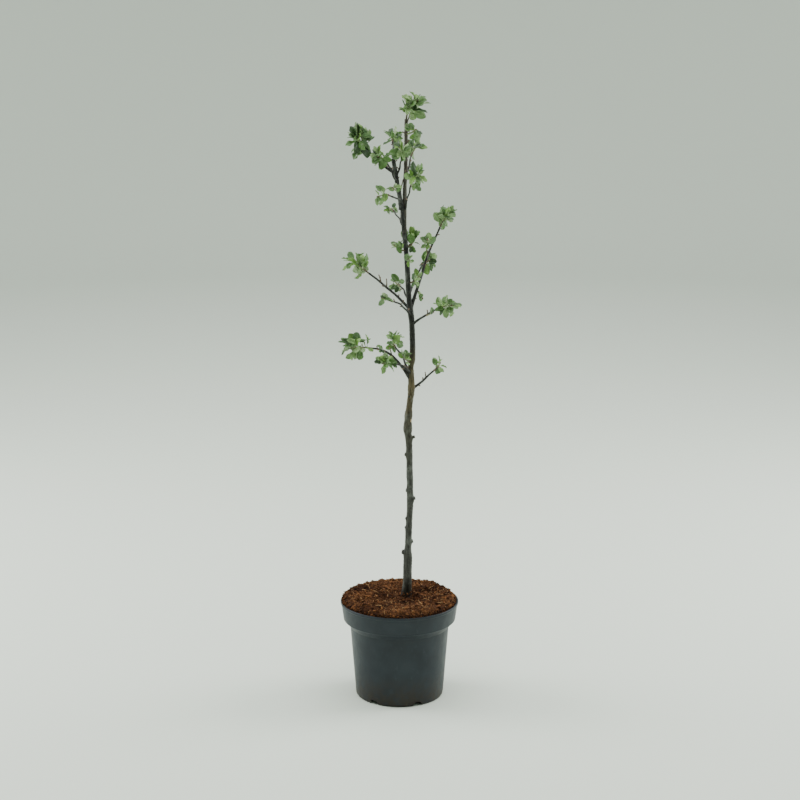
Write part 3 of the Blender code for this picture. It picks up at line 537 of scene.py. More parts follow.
class Finish:
    """A material under construction: a Principled shader and short ways to add nodes to it."""

    def __init__(self, name, roughness, specular):
        material = FINISHES[name] = bpy.data.materials.new(name)
        material.use_nodes = True
        self.tree = material.node_tree
        self.shader = self.tree.nodes["Principled BSDF"]
        self.put(self.shader, {"Roughness": roughness, "Specular IOR Level": specular})
        self.place = self.node("TexCoord").outputs["Object"]

    def put(self, node, inputs):
        """Sets inputs, by name or number, to constants or links them to outputs."""
        for key, value in inputs.items():
            if isinstance(value, bpy.types.NodeSocket):
                self.tree.links.new(value, node.inputs[key])
            else:
                node.inputs[key].default_value = value

    def node(self, kind, inputs=()):
        made = self.tree.nodes.new("ShaderNode" + kind)
        self.put(made, dict(inputs))
        return made

    def squeezed(self, size, squeeze):
        """The place, in units of a size for each axis."""
        scale = [part / size for part in squeeze]
        return self.node("Mapping", {"Scale": scale, "Vector": self.place}).outputs["Vector"]

    def noise(self, size, detail=4.0, rough=0.55, squeeze=(1, 1, 1)):
        """A cloud of marks of a size in metres."""
        return self.node("TexNoise", {
            "Scale": 1.0, "Detail": detail, "Roughness": rough,
            "Vector": self.squeezed(size, squeeze),
        }).outputs["Fac"]

    def cells(self, size, squeeze):
        inputs = {"Scale": 1.0, "Vector": self.squeezed(size, squeeze)}
        return self.node("TexVoronoi", inputs).outputs["Distance"]

    def ramp(self, value, stops):
        """A colour for each value, from stops of place and colour."""
        node = self.node("ValToRGB", {"Fac": value})
        elements = node.color_ramp.elements
        while len(elements) < len(stops):
            elements.new(0.5)
        for element, (place, colour) in zip(elements, stops):
            element.position = place
            element.color = colour
        return node.outputs["Color"]

    def span(self, value, low, high, to_low=0.0, to_high=1.0):
        """Maps a value from low to high on to to_low to to_high, and no farther."""
        return self.node("MapRange", {
            "Value": value, "From Min": low, "From Max": high, "To Min": to_low,
            "To Max": to_high,
        }).outputs["Result"]

    def math(self, operation, first, second):
        node = self.node("Math", {0: first, 1: second})
        node.operation = operation
        return node.outputs["Value"]

    def height(self):
        return self.node("SeparateXYZ", {"Vector": self.place}).outputs["Z"]

    def mix(self, factor, first, second, blend="MIX"):
        node = self.node("Mix")
        node.data_type = "RGBA"
        node.blend_type = blend
        colours = [index for index, item in enumerate(node.inputs) if item.type == "RGBA"]
        self.put(node, {0: factor, colours[0]: first, colours[1]: second})
        return next(item for item in node.outputs if item.type == "RGBA")

    def shade(self, colour, by):
        return self.mix(1.0, colour, by, "MULTIPLY")

    def finish(self, colour, roughness=None, relief=None, strength=0.0, depth=0.0):
        """Links the colour, the roughness and a bump to the shader."""
        self.put(self.shader, {"Base Color": colour})
        if roughness is not None:
            self.put(self.shader, {"Roughness": roughness})
        if relief is not None:
            bump = self.node("Bump", {"Strength": strength, "Distance": depth, "Height": relief})
            self.put(self.shader, {"Normal": bump.outputs["Normal"]})


def add_mottled(name, dark, light, size, roughness, specular, grain):
    """A plain colour that clouds over between two tones, with a fine grain."""
    made = Finish(name, roughness, specular)
    cloud = made.noise(size)
    made.finish(
        made.ramp(cloud, ((0.36, srgb(*dark)), (0.64, srgb(*light)))),
        made.span(cloud, 0.3, 0.7, roughness - 0.07, roughness + 0.07),
        made.noise(size / 6) if grain else None, 0.6, grain)


def add_bark(name, *tones):
    """Bark whose tone follows the height: streaks, cracks, lichen and pale lenticels."""
    made = Finish(name, 0.7, 0.22)
    stray = made.span(made.noise(*BARK_STRAY), 0.3, 0.7, -0.012, 0.012)
    climb = made.math("ADD", made.span(made.height(), GROUND_Z, BARK_TOP_Z), stray)
    tone = made.ramp(climb, [(place, srgb(*colour)) for place, colour in tones])
    streaks, cracks = made.noise(*BARK_STREAKS), made.noise(*BARK_CRACKS)
    streaked = made.mix(made.span(streaks, 0.40, 0.66), tone, made.shade(tone, STREAK_SHADE))
    cracked = made.mix(
        made.span(cracks, 0.58, 0.70, 0.0, 0.75), streaked, made.shade(tone, CRACK_SHADE))
    lichen = made.span(made.noise(*BARK_PATCHES), 0.52, 0.66, 0.0, 0.42)
    silvery = made.mix(lichen, cracked, srgb(112, 115, 109))
    lenticels = made.span(made.cells(*BARK_DOTS), 0.20, 0.11, 0.0, 0.50)
    dotted = made.mix(lenticels, silvery, srgb(134, 133, 116))
    made.finish(
        made.mix(made.span(made.height(), *DARK_FOOT), cracked, dotted),
        made.span(streaks, 0.3, 0.7, 0.50, 0.78),
        made.math("SUBTRACT", made.noise(*BARK_GRAIN), cracks), 0.6, 0.0005)


def add_pot_plastic():
    """Matt slate plastic, scuffed in places and dusted with soil at its foot."""
    made = Finish("pot_plastic", 0.5, 0.30)
    plain = made.ramp(
        made.noise(0.05, 4.0), ((0.35, srgb(23, 30, 37)), (0.65, srgb(32, 40, 47))))
    scuffs = made.noise(0.010, 8.0, 0.7, (1, 1, 0.5))
    scuffed = made.mix(made.span(scuffs, 0.56, 0.76, 0.0, 0.5), plain, srgb(52, 60, 65))
    dusted = made.span(made.noise(0.014, 6.0, 0.65), 0.30, 0.58)
    dust = made.math("MULTIPLY", made.span(made.height(), *DUSTY_FOOT), dusted)
    made.finish(
        made.mix(dust, scuffed, srgb(40, 33, 25)), made.span(scuffs, 0.35, 0.75, 0.40, 0.58),
        made.noise(0.0012, 3.0), 0.2, 0.00015)


def add_peat(name, dark, middle, light):
    """Peat: tones that cloud over at every size, darker in patches and with painted shade where it
    lies low.
    """
    made = Finish(name, 0.95, 0.12)
    stops = ((0.34, srgb(*dark)), (0.50, srgb(*middle)), (0.66, srgb(*light)))
    tone = made.ramp(made.noise(0.004, 8.0, 0.72), stops)
    patches = made.span(made.noise(0.045, 3.0, 0.6), 0.36, 0.60)
    # Painted shade: the lower the peat lies, the darker it is, so its hollows and pits look shaded
    high = made.span(made.height(), SOIL_SEAT_Z - 0.003, SOIL_CREST_Z)
    dry_and_lit = made.math("MULTIPLY", patches, made.math("ADD", high, 0.25))
    made.finish(
        made.mix(dry_and_lit, made.shade(tone, PEAT_SHADE), tone),
        relief=made.noise(0.0012, 6.0, 0.75), strength=0.9, depth=0.0009)


def add_leaf_finish(name, colour, gloss):
    """A leaf's colour, clouded a little between one leaf and the next."""
    made = Finish(name, gloss, 0.45)
    tone = srgb(*colour)[:3]
    paler = [min(part * 1.30 + 0.004, 1.0) for part in tone]
    deeper = [part * 0.74 for part in tone]
    made.finish(
        made.ramp(made.noise(0.016, 2.0), ((0.34, (*deeper, 1.0)), (0.66, (*paler, 1.0)))),
        made.span(made.noise(0.004, 3.0), 0.3, 0.7, gloss - 0.08, gloss + 0.10),
        made.noise(0.0013, 3.0), 0.35, 0.00035)


def add_finishes():
    add_pot_plastic()
    for add, table in ((add_bark, BARKS), (add_peat, PEATS), (add_mottled, MOTTLED),
                       (add_leaf_finish, LEAF_TONES)):
        for name, row in table.items():
            add(name, *row)


# Meshes

def placed(name, data):
    """A new object of a mesh, a light or a camera, in the scene."""
    made = bpy.data.objects.new(name, data)
    bpy.context.scene.collection.objects.link(made)
    return made


def as_piece(piece, replaced=()):
    """Makes the object ride on the body and stand for its solids."""
    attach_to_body(piece, "root")
    if replaced:
        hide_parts(*replaced)


class Pile:
    """Points and faces of many small shapes that become one joined mesh."""

    def __init__(self, *finishes):
        self.finishes = finishes
        self.points, self.faces, self.slots = [], [], []

    def add(self, points, *sorts):
        """Adds a shape's points and its sorts of faces, each a list of faces and a finish."""
        first = len(self.points)
        self.points.extend(map(tuple, points))
        for faces, finish in sorts:
            self.faces.extend(tuple(first + corner for corner in face) for face in faces)
            self.slots.extend([self.finishes.index(finish)] * len(faces))

    def build(self, name, slot, replaced=()):
        mesh = bpy.data.meshes.new(name)
        mesh.from_pydata(self.points, [], self.faces)
        for finish in self.finishes:
            mesh.materials.append(FINISHES[finish])
        mesh.polygons.foreach_set("material_index", self.slots)
        mesh.shade_smooth()
        mesh.update()
        as_piece(placed(name, mesh), replaced)


def band(low, high, count, inward=False):
    """Quads between two rings, given by the numbers of their first points."""
    quads = []
    for side in range(count):
        after = (side + 1) % count
        quad = (low + side, low + after, high + after, high + side)
        quads.append((quad[0], *quad[:0:-1]) if inward else quad)
    return quads


def frames_along(line):
    """A line's points, and at each the two directions across the line, which don't twist."""
    points = np.array(line, float)
    along = np.gradient(points, axis=0)
    along /= np.linalg.norm(along, axis=1)[:, None]
    first = np.cross(along[0], (0.0, 1.0, 0.0))
    if np.linalg.norm(first) < 0.1:
        first = np.cross(along[0], (1.0, 0.0, 0.0))
    across, up = [], []
    for run in along:
        first = first - run * (first @ run)
        first = first / np.linalg.norm(first)
        across.append(first)
        up.append(np.cross(run, first))
    return points, np.array(across), np.array(up)


def ray_at(east, north, angle):
    return east * cos(angle) + north * sin(angle)


def polar(radius, angle):
    return radius * cos(angle), radius * sin(angle)


def add_tube(pile, line, radii, sides, finish, relief=None, end_finish=None):
    """A closed tube. The relief adds height at an angle and a distance along the line."""
    points, across, up = frames_along(line)
    steps = np.linalg.norm(np.diff(points, axis=0), axis=1)
    distance = np.concatenate([[0.0], np.cumsum(steps)])
    made, faces = [], []
    for ring, radius in enumerate(radii):
        for side in range(sides):
            angle = tau * side / sides
            thick = radius + (relief(angle, distance[ring], radius) if relief else 0.0)
            made.append(points[ring] + ray_at(across[ring], up[ring], angle) * thick)
        if ring:
            faces += band((ring - 1) * sides, ring * sides, sides)
    faces.append(tuple(reversed(range(sides))))
    end = tuple(range(len(made) - sides, len(made)))
    pile.add(made, (faces, finish), ([end], end_finish or finish))


# Lines of the limbs, as in the solids

def smooth_line(knots, height):
    """The offset at a height on a smooth line through knots of height and offset."""
    index = bisect_left(knots, height, 1, len(knots) - 1, key=lambda knot: knot[0])
    low, high = knots[index - 1], knots[index]
    before, after = knots[max(index - 2, 0)], knots[min(index + 1, len(knots) - 1)]
    step = high[0] - low[0]
    slope_low = (high[1] - before[1]) / (high[0] - before[0])
    slope_high = (after[1] - low[1]) / (after[0] - low[0])
    t = (height - low[0]) / step
    return (
        low[1] * (2 * t**3 - 3 * t**2 + 1) + high[1] * (3 * t**2 - 2 * t**3)
        + step * slope_low * (t**3 - 2 * t**2 + t) + step * slope_high * (t**3 - t**2)
    )


def trunk_line(cell):
    """Points and radii of the trunk, from its flat cut at the ground to its fork."""
    rings = round((TRUNK_TOP_Z - GROUND_Z) / cell)
    points, radii = [], []
    for ring in range(rings + 1):
        t = ring / rings
        z = GROUND_Z + t * (TRUNK_TOP_Z - GROUND_Z)
        y = TRUNK_SWAY * sin(tau * TRUNK_SWAYS * t) * t * (1 - t) * 4
        radius = smooth_line(TRUNK_RADII, z)
        radius += FLARE_R * exp(-(z - GROUND_Z) / FLARE_HEIGHT)
        radius += BUTT_R / (1 + exp((z - BUTT_TOP_Z) / (FLARE_HEIGHT / 2)))
        for middle, extra, half in KNUCKLES:
            radius += extra * exp(-((z - middle) / half) ** 2)
        points.append(Vector((smooth_line(TRUNK_BENDS, z), y, z)))
        radii.append(radius)
    points[0].xy = points[1].xy
    points[-1].xy = points[-2].xy
    return points, radii


def at_height(line, height):
    """The point and radius of a rising line at a height."""
    points, radii = line
    index = bisect_left(points, height, 1, len(points) - 1, key=lambda point: point.z)
    low, high = points[index - 1], points[index]
    t = (height - low.z) / (high.z - low.z)
    return low.lerp(high, t), radii[index - 1] + (radii[index] - radii[index - 1]) * t


def on_line(line, t):
    place = t * (len(line) - 1)
    index = min(int(place), len(line) - 2)
    return line[index].lerp(line[index + 1], place - index)


def curve(start, bend, end, t):
    """The point at a share t of a curve that leaves for the bend and arrives from it."""
    return start * (1 - t) ** 2 + bend * 2 * t * (1 - t) + end * t**2


def level(azimuth):
    return Vector((*polar(1.0, radians(azimuth)), 0.0))


def limb_length(limb):
    return hypot(limb.reach, limb.rise)


def limb_line(name, limb, lines, rings):
    """Points and radii of a limb, from inside its parent to its tip."""
    rng = random.Random(name)
    start, _ = at_height(lines[limb.parent], limb.height)
    outward, across = level(limb.azimuth), level(limb.azimuth + 90)
    phase = rng.uniform(0, tau)
    waves = rng.uniform(*WANDER_WAVES)
    points, radii = [], []
    for ring in range(rings):
        t = ring / (rings - 1)
        wander = WANDER * sin(tau * waves * t + phase) * sin(pi * t)
        rise = limb.rise * t + limb.bow * sin(pi * t)
        radius = limb.root_r + (limb.tip_r - limb.root_r) * t**TAPER
        radius *= 1 + COLLAR_SWELL * exp(-t * limb_length(limb) / COLLAR_LENGTH)
        points.append(start + outward * limb.reach * t + UP * rise + across * wander)
        radii.append(radius)
    return points, radii


def all_lines(trunk_cell, limb_cell=None):
    """Every limb's line, with rings a cell apart, or as few on the limbs as the solids have."""
    lines = {"trunk": trunk_line(trunk_cell)}
    for name, limb in LIMBS.items():
        rings = round(limb_length(limb) / limb_cell) if limb_cell else LIMB_RINGS
        lines[name] = limb_line(name, limb, lines, rings)
    return lines


# Growth of the masses, by the same rule as the solids

def segments_of(lines):
    """The limbs as arrays of segment ends and radii, for measuring room."""
    starts, ends, radii = [], [], []
    for points, thick in lines.values():
        starts += points[:-1]
        ends += points[1:]
        radii += map(max, thick, thick[1:])
    return np.array(starts), np.array(ends), np.array(radii)


def room(points, segments):
    """The least distance from the points to the surface of any limb."""
    starts, ends, radii = segments
    runs = ends - starts
    least = inf
    for point in points:
        away = np.array(point) - starts
        t = np.clip((away * runs).sum(1) / (runs * runs).sum(1), 0, 1)
        gaps = np.linalg.norm(away - runs * t[:, None], axis=1) - radii
        least = min(least, gaps.min())
    return least


def own_space(name, points):
    """Whether the points lie in the mass's ellipsoid and nearer to its middle than to others'."""
    middles = np.array([mass.middle for mass in MASSES.values()], float)
    halves = np.array([mass.half for mass in MASSES.values()], float)
    offsets = (np.array(points)[:, None, :] / MILLI - middles) / halves
    depths = np.linalg.norm(offsets, axis=2)
    index = list(MASSES).index(name)
    own, others = depths[:, index], np.delete(depths, index, axis=1)
    return bool((own <= 1.0).all() and (others.min(axis=1) >= own + SPACE_APART).all())


Leaf = namedtuple("Leaf", "attach root direction side normal length small")


def faced_leaf(attach, root, direction, face, length, small):
    """A leaf whose upper side looks as nearly along the face as its direction lets it."""
    side = face.cross(direction).normalized()
    return Leaf(attach, root, direction, side, direction.cross(side).normalized(), length, small)


def leaf_samples(leaf):
    """Points of a leaf that folds up at its edges and droops at its tip."""
    samples = []
    for along, share in LEAF_PLACES:
        across = share * LEAF_WIDTH / 2
        lift = LEAF_FOLD * abs(across) - LEAF_DROOP * along * along
        offset = leaf.direction * along + leaf.side * across + leaf.normal * lift
        samples.append(leaf.root + offset * leaf.length)
    return samples


def stray(rng, most):
    return rng.uniform(-most, most)


def face_near(rng, ray, face):
    """A direction for a leaf's upper side, from how far it strays, looks up and looks out."""
    strays, up, out = face
    return Vector((stray(rng, strays), stray(rng, strays), up)) + ray * out


def stem_line(mass, lines):
    """The mass's own stem: it starts clear of its limb and ends past the mass's middle."""
    middle = Vector(mass.middle) * MILLI
    points, radii = lines[mass.parent]
    if mass.height is None:
        out = (points[-1] - points[-2]).normalized()
        start = points[-1] + out * CLEAR
    else:
        axis, radius = at_height((points, radii), mass.height)
        above, _ = at_height((points, radii), mass.height + MILLI)
        run = (above - axis).normalized()
        out = middle - axis
        out = (out - run * out.dot(run)).normalized()
        start = axis + out * (radius + CLEAR)
    end = middle + (middle - start).normalized() * min(mass.half) * MILLI * STEM_PAST
    bend = start + out * (end - start).length * STEM_BEND
    return [curve(start, bend, end, ring / STEM_RINGS) for ring in range(STEM_RINGS + 1)]


def grow(name, mass, lines, segments):
    """The stem and leaves of a mass, by a seeded rule that fills its space evenly."""
    rng = random.Random(f"{name}_{mass.seed}")
    middle, half = Vector(mass.middle) * MILLI, Vector(mass.half) * MILLI
    stem = stem_line(mass, lines)
    axis = (stem[-1] - stem[0]).normalized()
    east = axis.orthogonal().normalized()
    north = axis.cross(east)
    turn = rng.uniform(0, tau)
    leaves = []
    for number in range(mass.count):
        t = (number + 0.5) / mass.count
        attach = on_line(stem, TWIGS_FROM + TWIGS_RUN * t)
        for attempt in range(LEAF_TRIES):
            wide = acos(1 - TWIGS_OPEN * (1 - t)) + stray(rng, OPEN_STRAY)
            spin = stray(rng, SPIN_STRAY) * (1 + attempt * STRAY_MORE)
            spin += turn + GOLDEN * number
            ray = axis * cos(wide) + ray_at(east, north, spin) * sin(wide)
            target = middle + ray * half * rng.uniform(*REACH)
            length = mass.leaf * MILLI * rng.uniform(*LEAF_LENGTHS)
            direction = (target - attach).normalized()
            direction = (direction + UP * rng.uniform(*LEAF_SLOPES)).normalized()
            root = target - direction * length
            if (target - attach).length < length:
                root = attach + direction * length * FOOT_GAP
                length = max((target - root).length, length * FOOT_LENGTH)
            face = face_near(rng, ray, FACE)
            leaf = faced_leaf(attach, root, direction, face, length, False)
            blade = leaf_samples(leaf)
            twig = [attach.lerp(root, step) for step in TWIG_STEPS]
            if own_space(name, blade + twig[1:]) and room(blade + twig, segments) >= LEAF_CLEAR:
                leaves.append(leaf)
                break
    return stem, leaves


def grow_finer(name, mass, stem, leaves, segments):
    """More leaves in rosettes: one beside each leaf's foot, and young ones at the stem's tip.

    Of the places tried for each, it takes the one farthest from the leaves that are there.
    """
    rng = random.Random(f"{name}_finer_{mass.finer}")
    feet = [(leaf.attach.lerp(leaf.root, rng.uniform(*FINER_FEET)), leaf.direction)
            for leaf in leaves]
    feet += [(stem[-1], (stem[-1] - stem[-2]).normalized())] * TIP_LEAVES
    finer = []
    for foot, heading in feet:
        best, widest = None, 0.0
        for _ in range(FINER_TRIES):
            lean = Vector([rng.gauss(0, FINER_LEAN) for _ in range(3)])
            direction = (heading + lean + UP * FINER_RISE).normalized()
            length = mass.leaf * MILLI * rng.uniform(*FINER_LENGTHS)
            root = foot + direction * length * rng.uniform(*FINER_STALKS)
            face = face_near(rng, heading, FINER_FACE)
            middle = root + direction * length / 2
            apart = min([(middle - leaf.root - leaf.direction * leaf.length / 2).length
                         for leaf in leaves + finer], default=1.0)
            if apart <= widest:
                continue
            leaf = faced_leaf(foot, root, direction, face, length, True)
            blade = leaf_samples(leaf)
            if own_space(name, blade) and room(blade, segments) > LEAF_CLEAR:
                best, widest = leaf, apart
        if best is not None:
            finer.append(best)
    return finer


# Pieces of the tree

def bark_relief(rng, length):
    """Ridges, lenticels and ring scars, as a height at an angle and a distance along a limb."""
    shift = Vector([rng.uniform(0, NOISE_FAR) for _ in range(3)])
    scars = []
    place = rng.uniform(*SCAR_FIRST) * SCAR_EVERY
    while place < length:
        scars.append((place, rng.uniform(*SCAR_SHARES)))
        place += SCAR_EVERY * rng.uniform(*SCAR_GAPS)

    def height(angle, distance, radius):
        x, y = polar(radius, angle)

        def cloud(width, run, offset):
            return noise.noise(Vector((x / width, y / width, distance / run)) + offset)

        total = sum(tall * cloud(width, run, shift) for width, run, tall in BARK_MARKS)
        width, run, tall = LENTICEL
        level_from, steep = LENTICEL_RISE
        total += tall * max(0.0, cloud(width, run, -shift) - level_from) * steep
        for middle, share in scars:
            gap = (distance - middle) / SCAR_HALF
            if abs(gap) < SCAR_ENDS:
                total += SCAR_HEIGHT * share * exp(-gap * gap)
        return total * min(1.0, radius / FULL_RELIEF_R)

    return height


def trunk_relief(line):
    """The trunk's bark, with a collar of callus round each stub."""
    plain = bark_relief(random.Random("trunk_bark"), TRUNK_TOP_Z - GROUND_Z)
    points, across, up = frames_along(line)
    wide, tall, share = CALLUS

    def height(angle, distance, radius):
        z = GROUND_Z + distance
        total = plain(angle, distance, radius)
        ring = min(np.searchsorted(points[:, 2], z), len(points) - 1)
        ray = ray_at(across[ring], up[ring], angle)
        for middle, azimuth, thick, stands in STUBS:
            climb = (z - middle) / (thick * tall)
            if abs(climb) < CALLUS_ENDS:
                facing = max(-1.0, min(1.0, ray @ np.array(level(azimuth))))
                turn = acos(facing) * radius / (thick * wide)
                total += share * stands * exp(-climb * climb - turn * turn)
        return total

    return height


def add_stub(pile, line, number, stub):
    """A pruned stub with a bevelled, dark cut face."""
    height, azimuth, radius, stands = stub
    axis, thick = at_height(line, height)
    outward = (level(azimuth) + UP * STUB_LEAN).normalized()
    relief = bark_relief(random.Random(f"stub_{number}"), thick + stands)
    line = [axis + outward * (thick * inside + stands * out) for inside, out, _ in STUB_SHAPE]
    radii = [radius * width for _, _, width in STUB_SHAPE]
    add_tube(pile, line, radii, STUB_SIDES, "bark", relief, "cut_dark")


def add_scar(pile, line, scar):
    """A low oval patch on the trunk's bark."""
    height, azimuth, half_width, half_height, finish = scar
    axis, radius = at_height(line, height)
    outward, side = level(azimuth), level(azimuth + 90)
    centre = axis + outward * radius
    points, faces = [], []
    for ring in range(PATCH_RINGS):
        share = ring / (PATCH_RINGS - 1)
        for sector in range(PATCH_SECTORS):
            x, y = polar(share, tau * sector / PATCH_SECTORS)
            across, climb = half_width * x, half_height * y
            rough = noise.noise(Vector((across, climb, height)) * PATCH_RAGGED[1])
            ragged = 1 + PATCH_RAGGED[0] * rough
            drop = sqrt(max(radius**2 - across**2, 0.0)) - radius
            lift = PATCH_LIFT[0] * (1 - share**2) - PATCH_LIFT[1]
            points.append(centre + outward * (drop + lift) + side * across * ragged
                          + UP * climb * ragged)
    under = centre - outward * PATCH_UNDER[0]
    points += [under + (point - centre) * PATCH_UNDER[1] for point in points[-PATCH_SECTORS:]]
    for ring in range(PATCH_RINGS):
        faces += band(ring * PATCH_SECTORS, (ring + 1) * PATCH_SECTORS, PATCH_SECTORS, True)
    faces.append(tuple(range(len(points) - PATCH_SECTORS, len(points))))
    pile.add(points, (faces, finish))


def shoulder(line):
    """The trunk's radii, rounded off at its top where the leaders take over."""
    made = []
    for point, radius in zip(*line):
        near = max(0.0, 1 - (TRUNK_TOP_Z - point.z) / SHOULDER_HEIGHT)
        made.append(radius * (1 - SHOULDER_CUT * near**2))
    return made


def build_trunk(line):
    pile = Pile("bark", "cut_dark", "cut_pale")
    add_tube(pile, line[0], shoulder(line), TRUNK_SIDES, "bark", trunk_relief(line[0]))
    for number, stub in enumerate(STUBS):
        add_stub(pile, line, number, stub)
    for scar in SCARS:
        add_scar(pile, line, scar)
    pile.build("bark_trunk", "bark", ["trunk"])


def build_limbs(lines):
    leaders = Pile("bark", "bark_pale", "cut_dark")
    boughs = Pile("bark_bough")
    for name, limb in LIMBS.items():
        relief = bark_relief(random.Random(name + "_bark"), limb_length(limb))
        if name in LEADERS:
            finish = "bark" if name == LEADERS[0] else "bark_pale"
            add_tube(leaders, *lines[name], LEADER_SIDES, finish, relief, "cut_dark")
        else:
            add_tube(boughs, *lines[name], BOUGH_SIDES, "bark_bough", relief)
    leaders.build("bark_leaders", "bark", LEADERS)
    boughs.build("bark_boughs", "bark", [name for name in LIMBS if name not in LEADERS])


def add_bud(pile, foot, heading, length):
    """A pointed bud, egg-shaped along its heading."""
    line = [foot + heading * length * place for place, _ in BUD_SHAPE]
    add_tube(pile, line, [length * width for _, width in BUD_SHAPE], BUD_SIDES, "bud")


def add_spur(pile, foot, heading, length, rng):
    """A short knobbly side shoot that ends in a bud."""
    sway = Vector([stray(rng, SPUR_SWAY) for _ in range(3)])
    rings = max(5, round(length / SPUR_RING))
    high, gap = SPUR_KNOBS
    line, radii = [], []
    for ring in range(rings + 1):
        t = ring / rings
        line.append(foot + (heading * t + sway * t * t) * length)
        knob = high * max(0.0, sin(t * length / gap * pi)) ** 3
        radii.append((SPUR_R[0] + (SPUR_R[1] - SPUR_R[0]) * t) * (1 + knob))
    add_tube(pile, line, radii, SPUR_SIDES, "twig")
    foot = line[-1] - heading * BUD_SUNK
    add_bud(pile, foot, (heading + sway * 2).normalized(), SPUR_BUD)


def build_spurs(lines):
    """The bare spurs that the photograph shows, and small ones dealt along every bough."""
    pile = Pile("twig", "bud")
    rng = random.Random("spurs")
    for limb, along, azimuth, slope, length in SPURS:
        flat, rise = polar(1.0, radians(slope))
        foot = on_line(lines[limb][0], along)
        add_spur(pile, foot, level(azimuth) * flat + UP * rise, length, rng)
    for name, limb in LIMBS.items():
        points, radii = lines[name]
        length = limb_length(limb)
        place = SPUR_EVERY * rng.uniform(*SPUR_FIRST)
        turn = rng.uniform(0, tau)
        while place < length * SPUR_LAST:
            index = min(int(place / length * (len(points) - 1)), len(points) - 2)
            run = (points[index + 1] - points[index]).normalized()
            east = run.orthogonal().normalized()
            ray = ray_at(east, run.cross(east), turn)
            heading = (ray + run * SPUR_ALONG + UP * SPUR_RISE).normalized()
            stands = radii[index] + rng.uniform(*SPUR_LENGTHS)
            add_spur(pile, points[index], heading, stands, rng)
            turn += GOLDEN
            place += SPUR_EVERY * rng.uniform(*SPUR_GAPS)
    pile.build("spurs", "bark")


def blade_points(leaf, rng):
    """The two faces of a leaf: toothed edges, a fold at the midrib, veins, waves and a droop."""
    width = leaf.length * rng.uniform(*BLADE_WIDTHS) / 2 * (SMALL_WIDTH if leaf.small else 1)
    fold = rng.uniform(*BLADE_FOLDS) + (SMALL_FOLD if leaf.small else 0.0)
    droop, twist = rng.uniform(*BLADE_DROOPS), rng.uniform(*BLADE_TWISTS)
    wave, waves = rng.uniform(*BLADE_WAVES), rng.uniform(*BLADE_WAVE_COUNTS)
    phase = rng.uniform(0, tau)
    bend = rng.uniform(*BLADE_BENDS)

    # Rows run along the leaf, from 0 to 1, and columns across it, from -1 to 1
    t = np.linspace(0.0, 1.0, BLADE_ROWS + 1)[:, None]
    v = np.array(BLADE_COLUMNS)[None, :]
    tip_from, tip_cut = BLADE_TIP
    outline = t**BLADE_OPENS * (1 - t) ** BLADE_CLOSES
    outline = outline * (1 - tip_cut * np.clip((t - tip_from) / (1 - tip_from), 0, 1))
    outline = np.maximum(outline / outline.max(), BLADE_LEAST)
    teeth = 1 + BLADE_TOOTH * np.where(np.arange(BLADE_ROWS + 1) % 2, 1.0, -1.0)[:, None]
    half = width * outline * np.where(np.abs(v) == 1, teeth, 1.0)

    slope = droop * t[:-1, 0] - DROOP_RISE * droop
    forward, down = (
        np.concatenate([[0.0], np.cumsum(part(slope) / BLADE_ROWS)]) * leaf.length
        for part in (np.cos, np.sin))
    cup = fold * (1 - FOLD_OPENS * t)
    across = v * half * np.cos(cup)
    waved = np.sin(tau * waves * t + phase + (v > 0) * SIDE_PHASE)
    lift = np.abs(v) * half * np.sin(cup) + wave * leaf.length * v * v * outline * waved
    vein = np.cos(tau * (VEINS * t - VEIN_LEAN * np.abs(v)))
    lift -= VEIN_DEPTH * leaf.length * vein * (1 - np.abs(v)) * (v != 0)
    lift -= RIB_DEPTH * leaf.length * (v == 0) * np.sin(pi * t) ** 0.5
    sideways = across * np.cos(twist * t) - lift * np.sin(twist * t) + bend * leaf.length * t**2
    rise = across * np.sin(twist * t) + lift * np.cos(twist * t) - down[:, None]

    root, direction, side, normal = map(np.array, leaf[1:5])
    middle = (root + direction * forward[:, None, None] + side * sideways[:, :, None]
              + normal * rise[:, :, None])
    thick = BLADE_THICK / 2 * (1 - BLADE_THIN * v * v)[:, :, None] * normal
    return (middle + thick).reshape(-1, 3), (middle - thick).reshape(-1, 3), forward, down


def blade_faces():
    """Faces of the upper side, the underside and the rim of a leaf's two grids."""
    columns = len(BLADE_COLUMNS)
    count = (BLADE_ROWS + 1) * columns
    first = [row * columns + column for row in range(BLADE_ROWS) for column in range(columns - 1)]
    upper = [(a, a + columns, a + columns + 1, a + 1) for a in first]
    under = [tuple(count + corner for corner in reversed(quad)) for quad in upper]
    border = [row * columns for row in range(BLADE_ROWS + 1)]
    border += [BLADE_ROWS * columns + column for column in range(1, columns)]
    border += [row * columns + columns - 1 for row in range(BLADE_ROWS - 1, -1, -1)]
    border += list(range(columns - 2, 0, -1))
    rim = [(corner, count + corner, count + after, after)
           for corner, after in zip(border, border[1:] + border[:1])]
    return upper, under, rim


def add_petiole(pile, leaf, forward, down, rng):
    """The leaf's stalk, which sags a little and runs on under the blade as its midrib."""
    run = leaf.root - leaf.attach
    sag = UP * (-rng.uniform(*PETIOLE_SAGS) * run.length)
    line, radii = [], []
    for t in np.linspace(0, 1, PETIOLE_RINGS, endpoint=False):
        line.append(leaf.attach + run * t + sag * sin(pi * t))
        radii.append(PETIOLE_R[0] + (PETIOLE_R[1] - PETIOLE_R[0]) * t)
    for row in range(0, BLADE_ROWS, RIB_ROWS):
        t = row / BLADE_ROWS
        under = down[row] + BLADE_THICK * RIB_SUNK
        under += RIB_DEPTH * leaf.length * sin(pi * t) ** 0.5
        line.append(leaf.root + leaf.direction * forward[row] - leaf.normal * under)
        radii.append(PETIOLE_R[1] * (1 - RIB_TAPER * t))
    add_tube(pile, line, radii, PETIOLE_SIDES, "petiole")


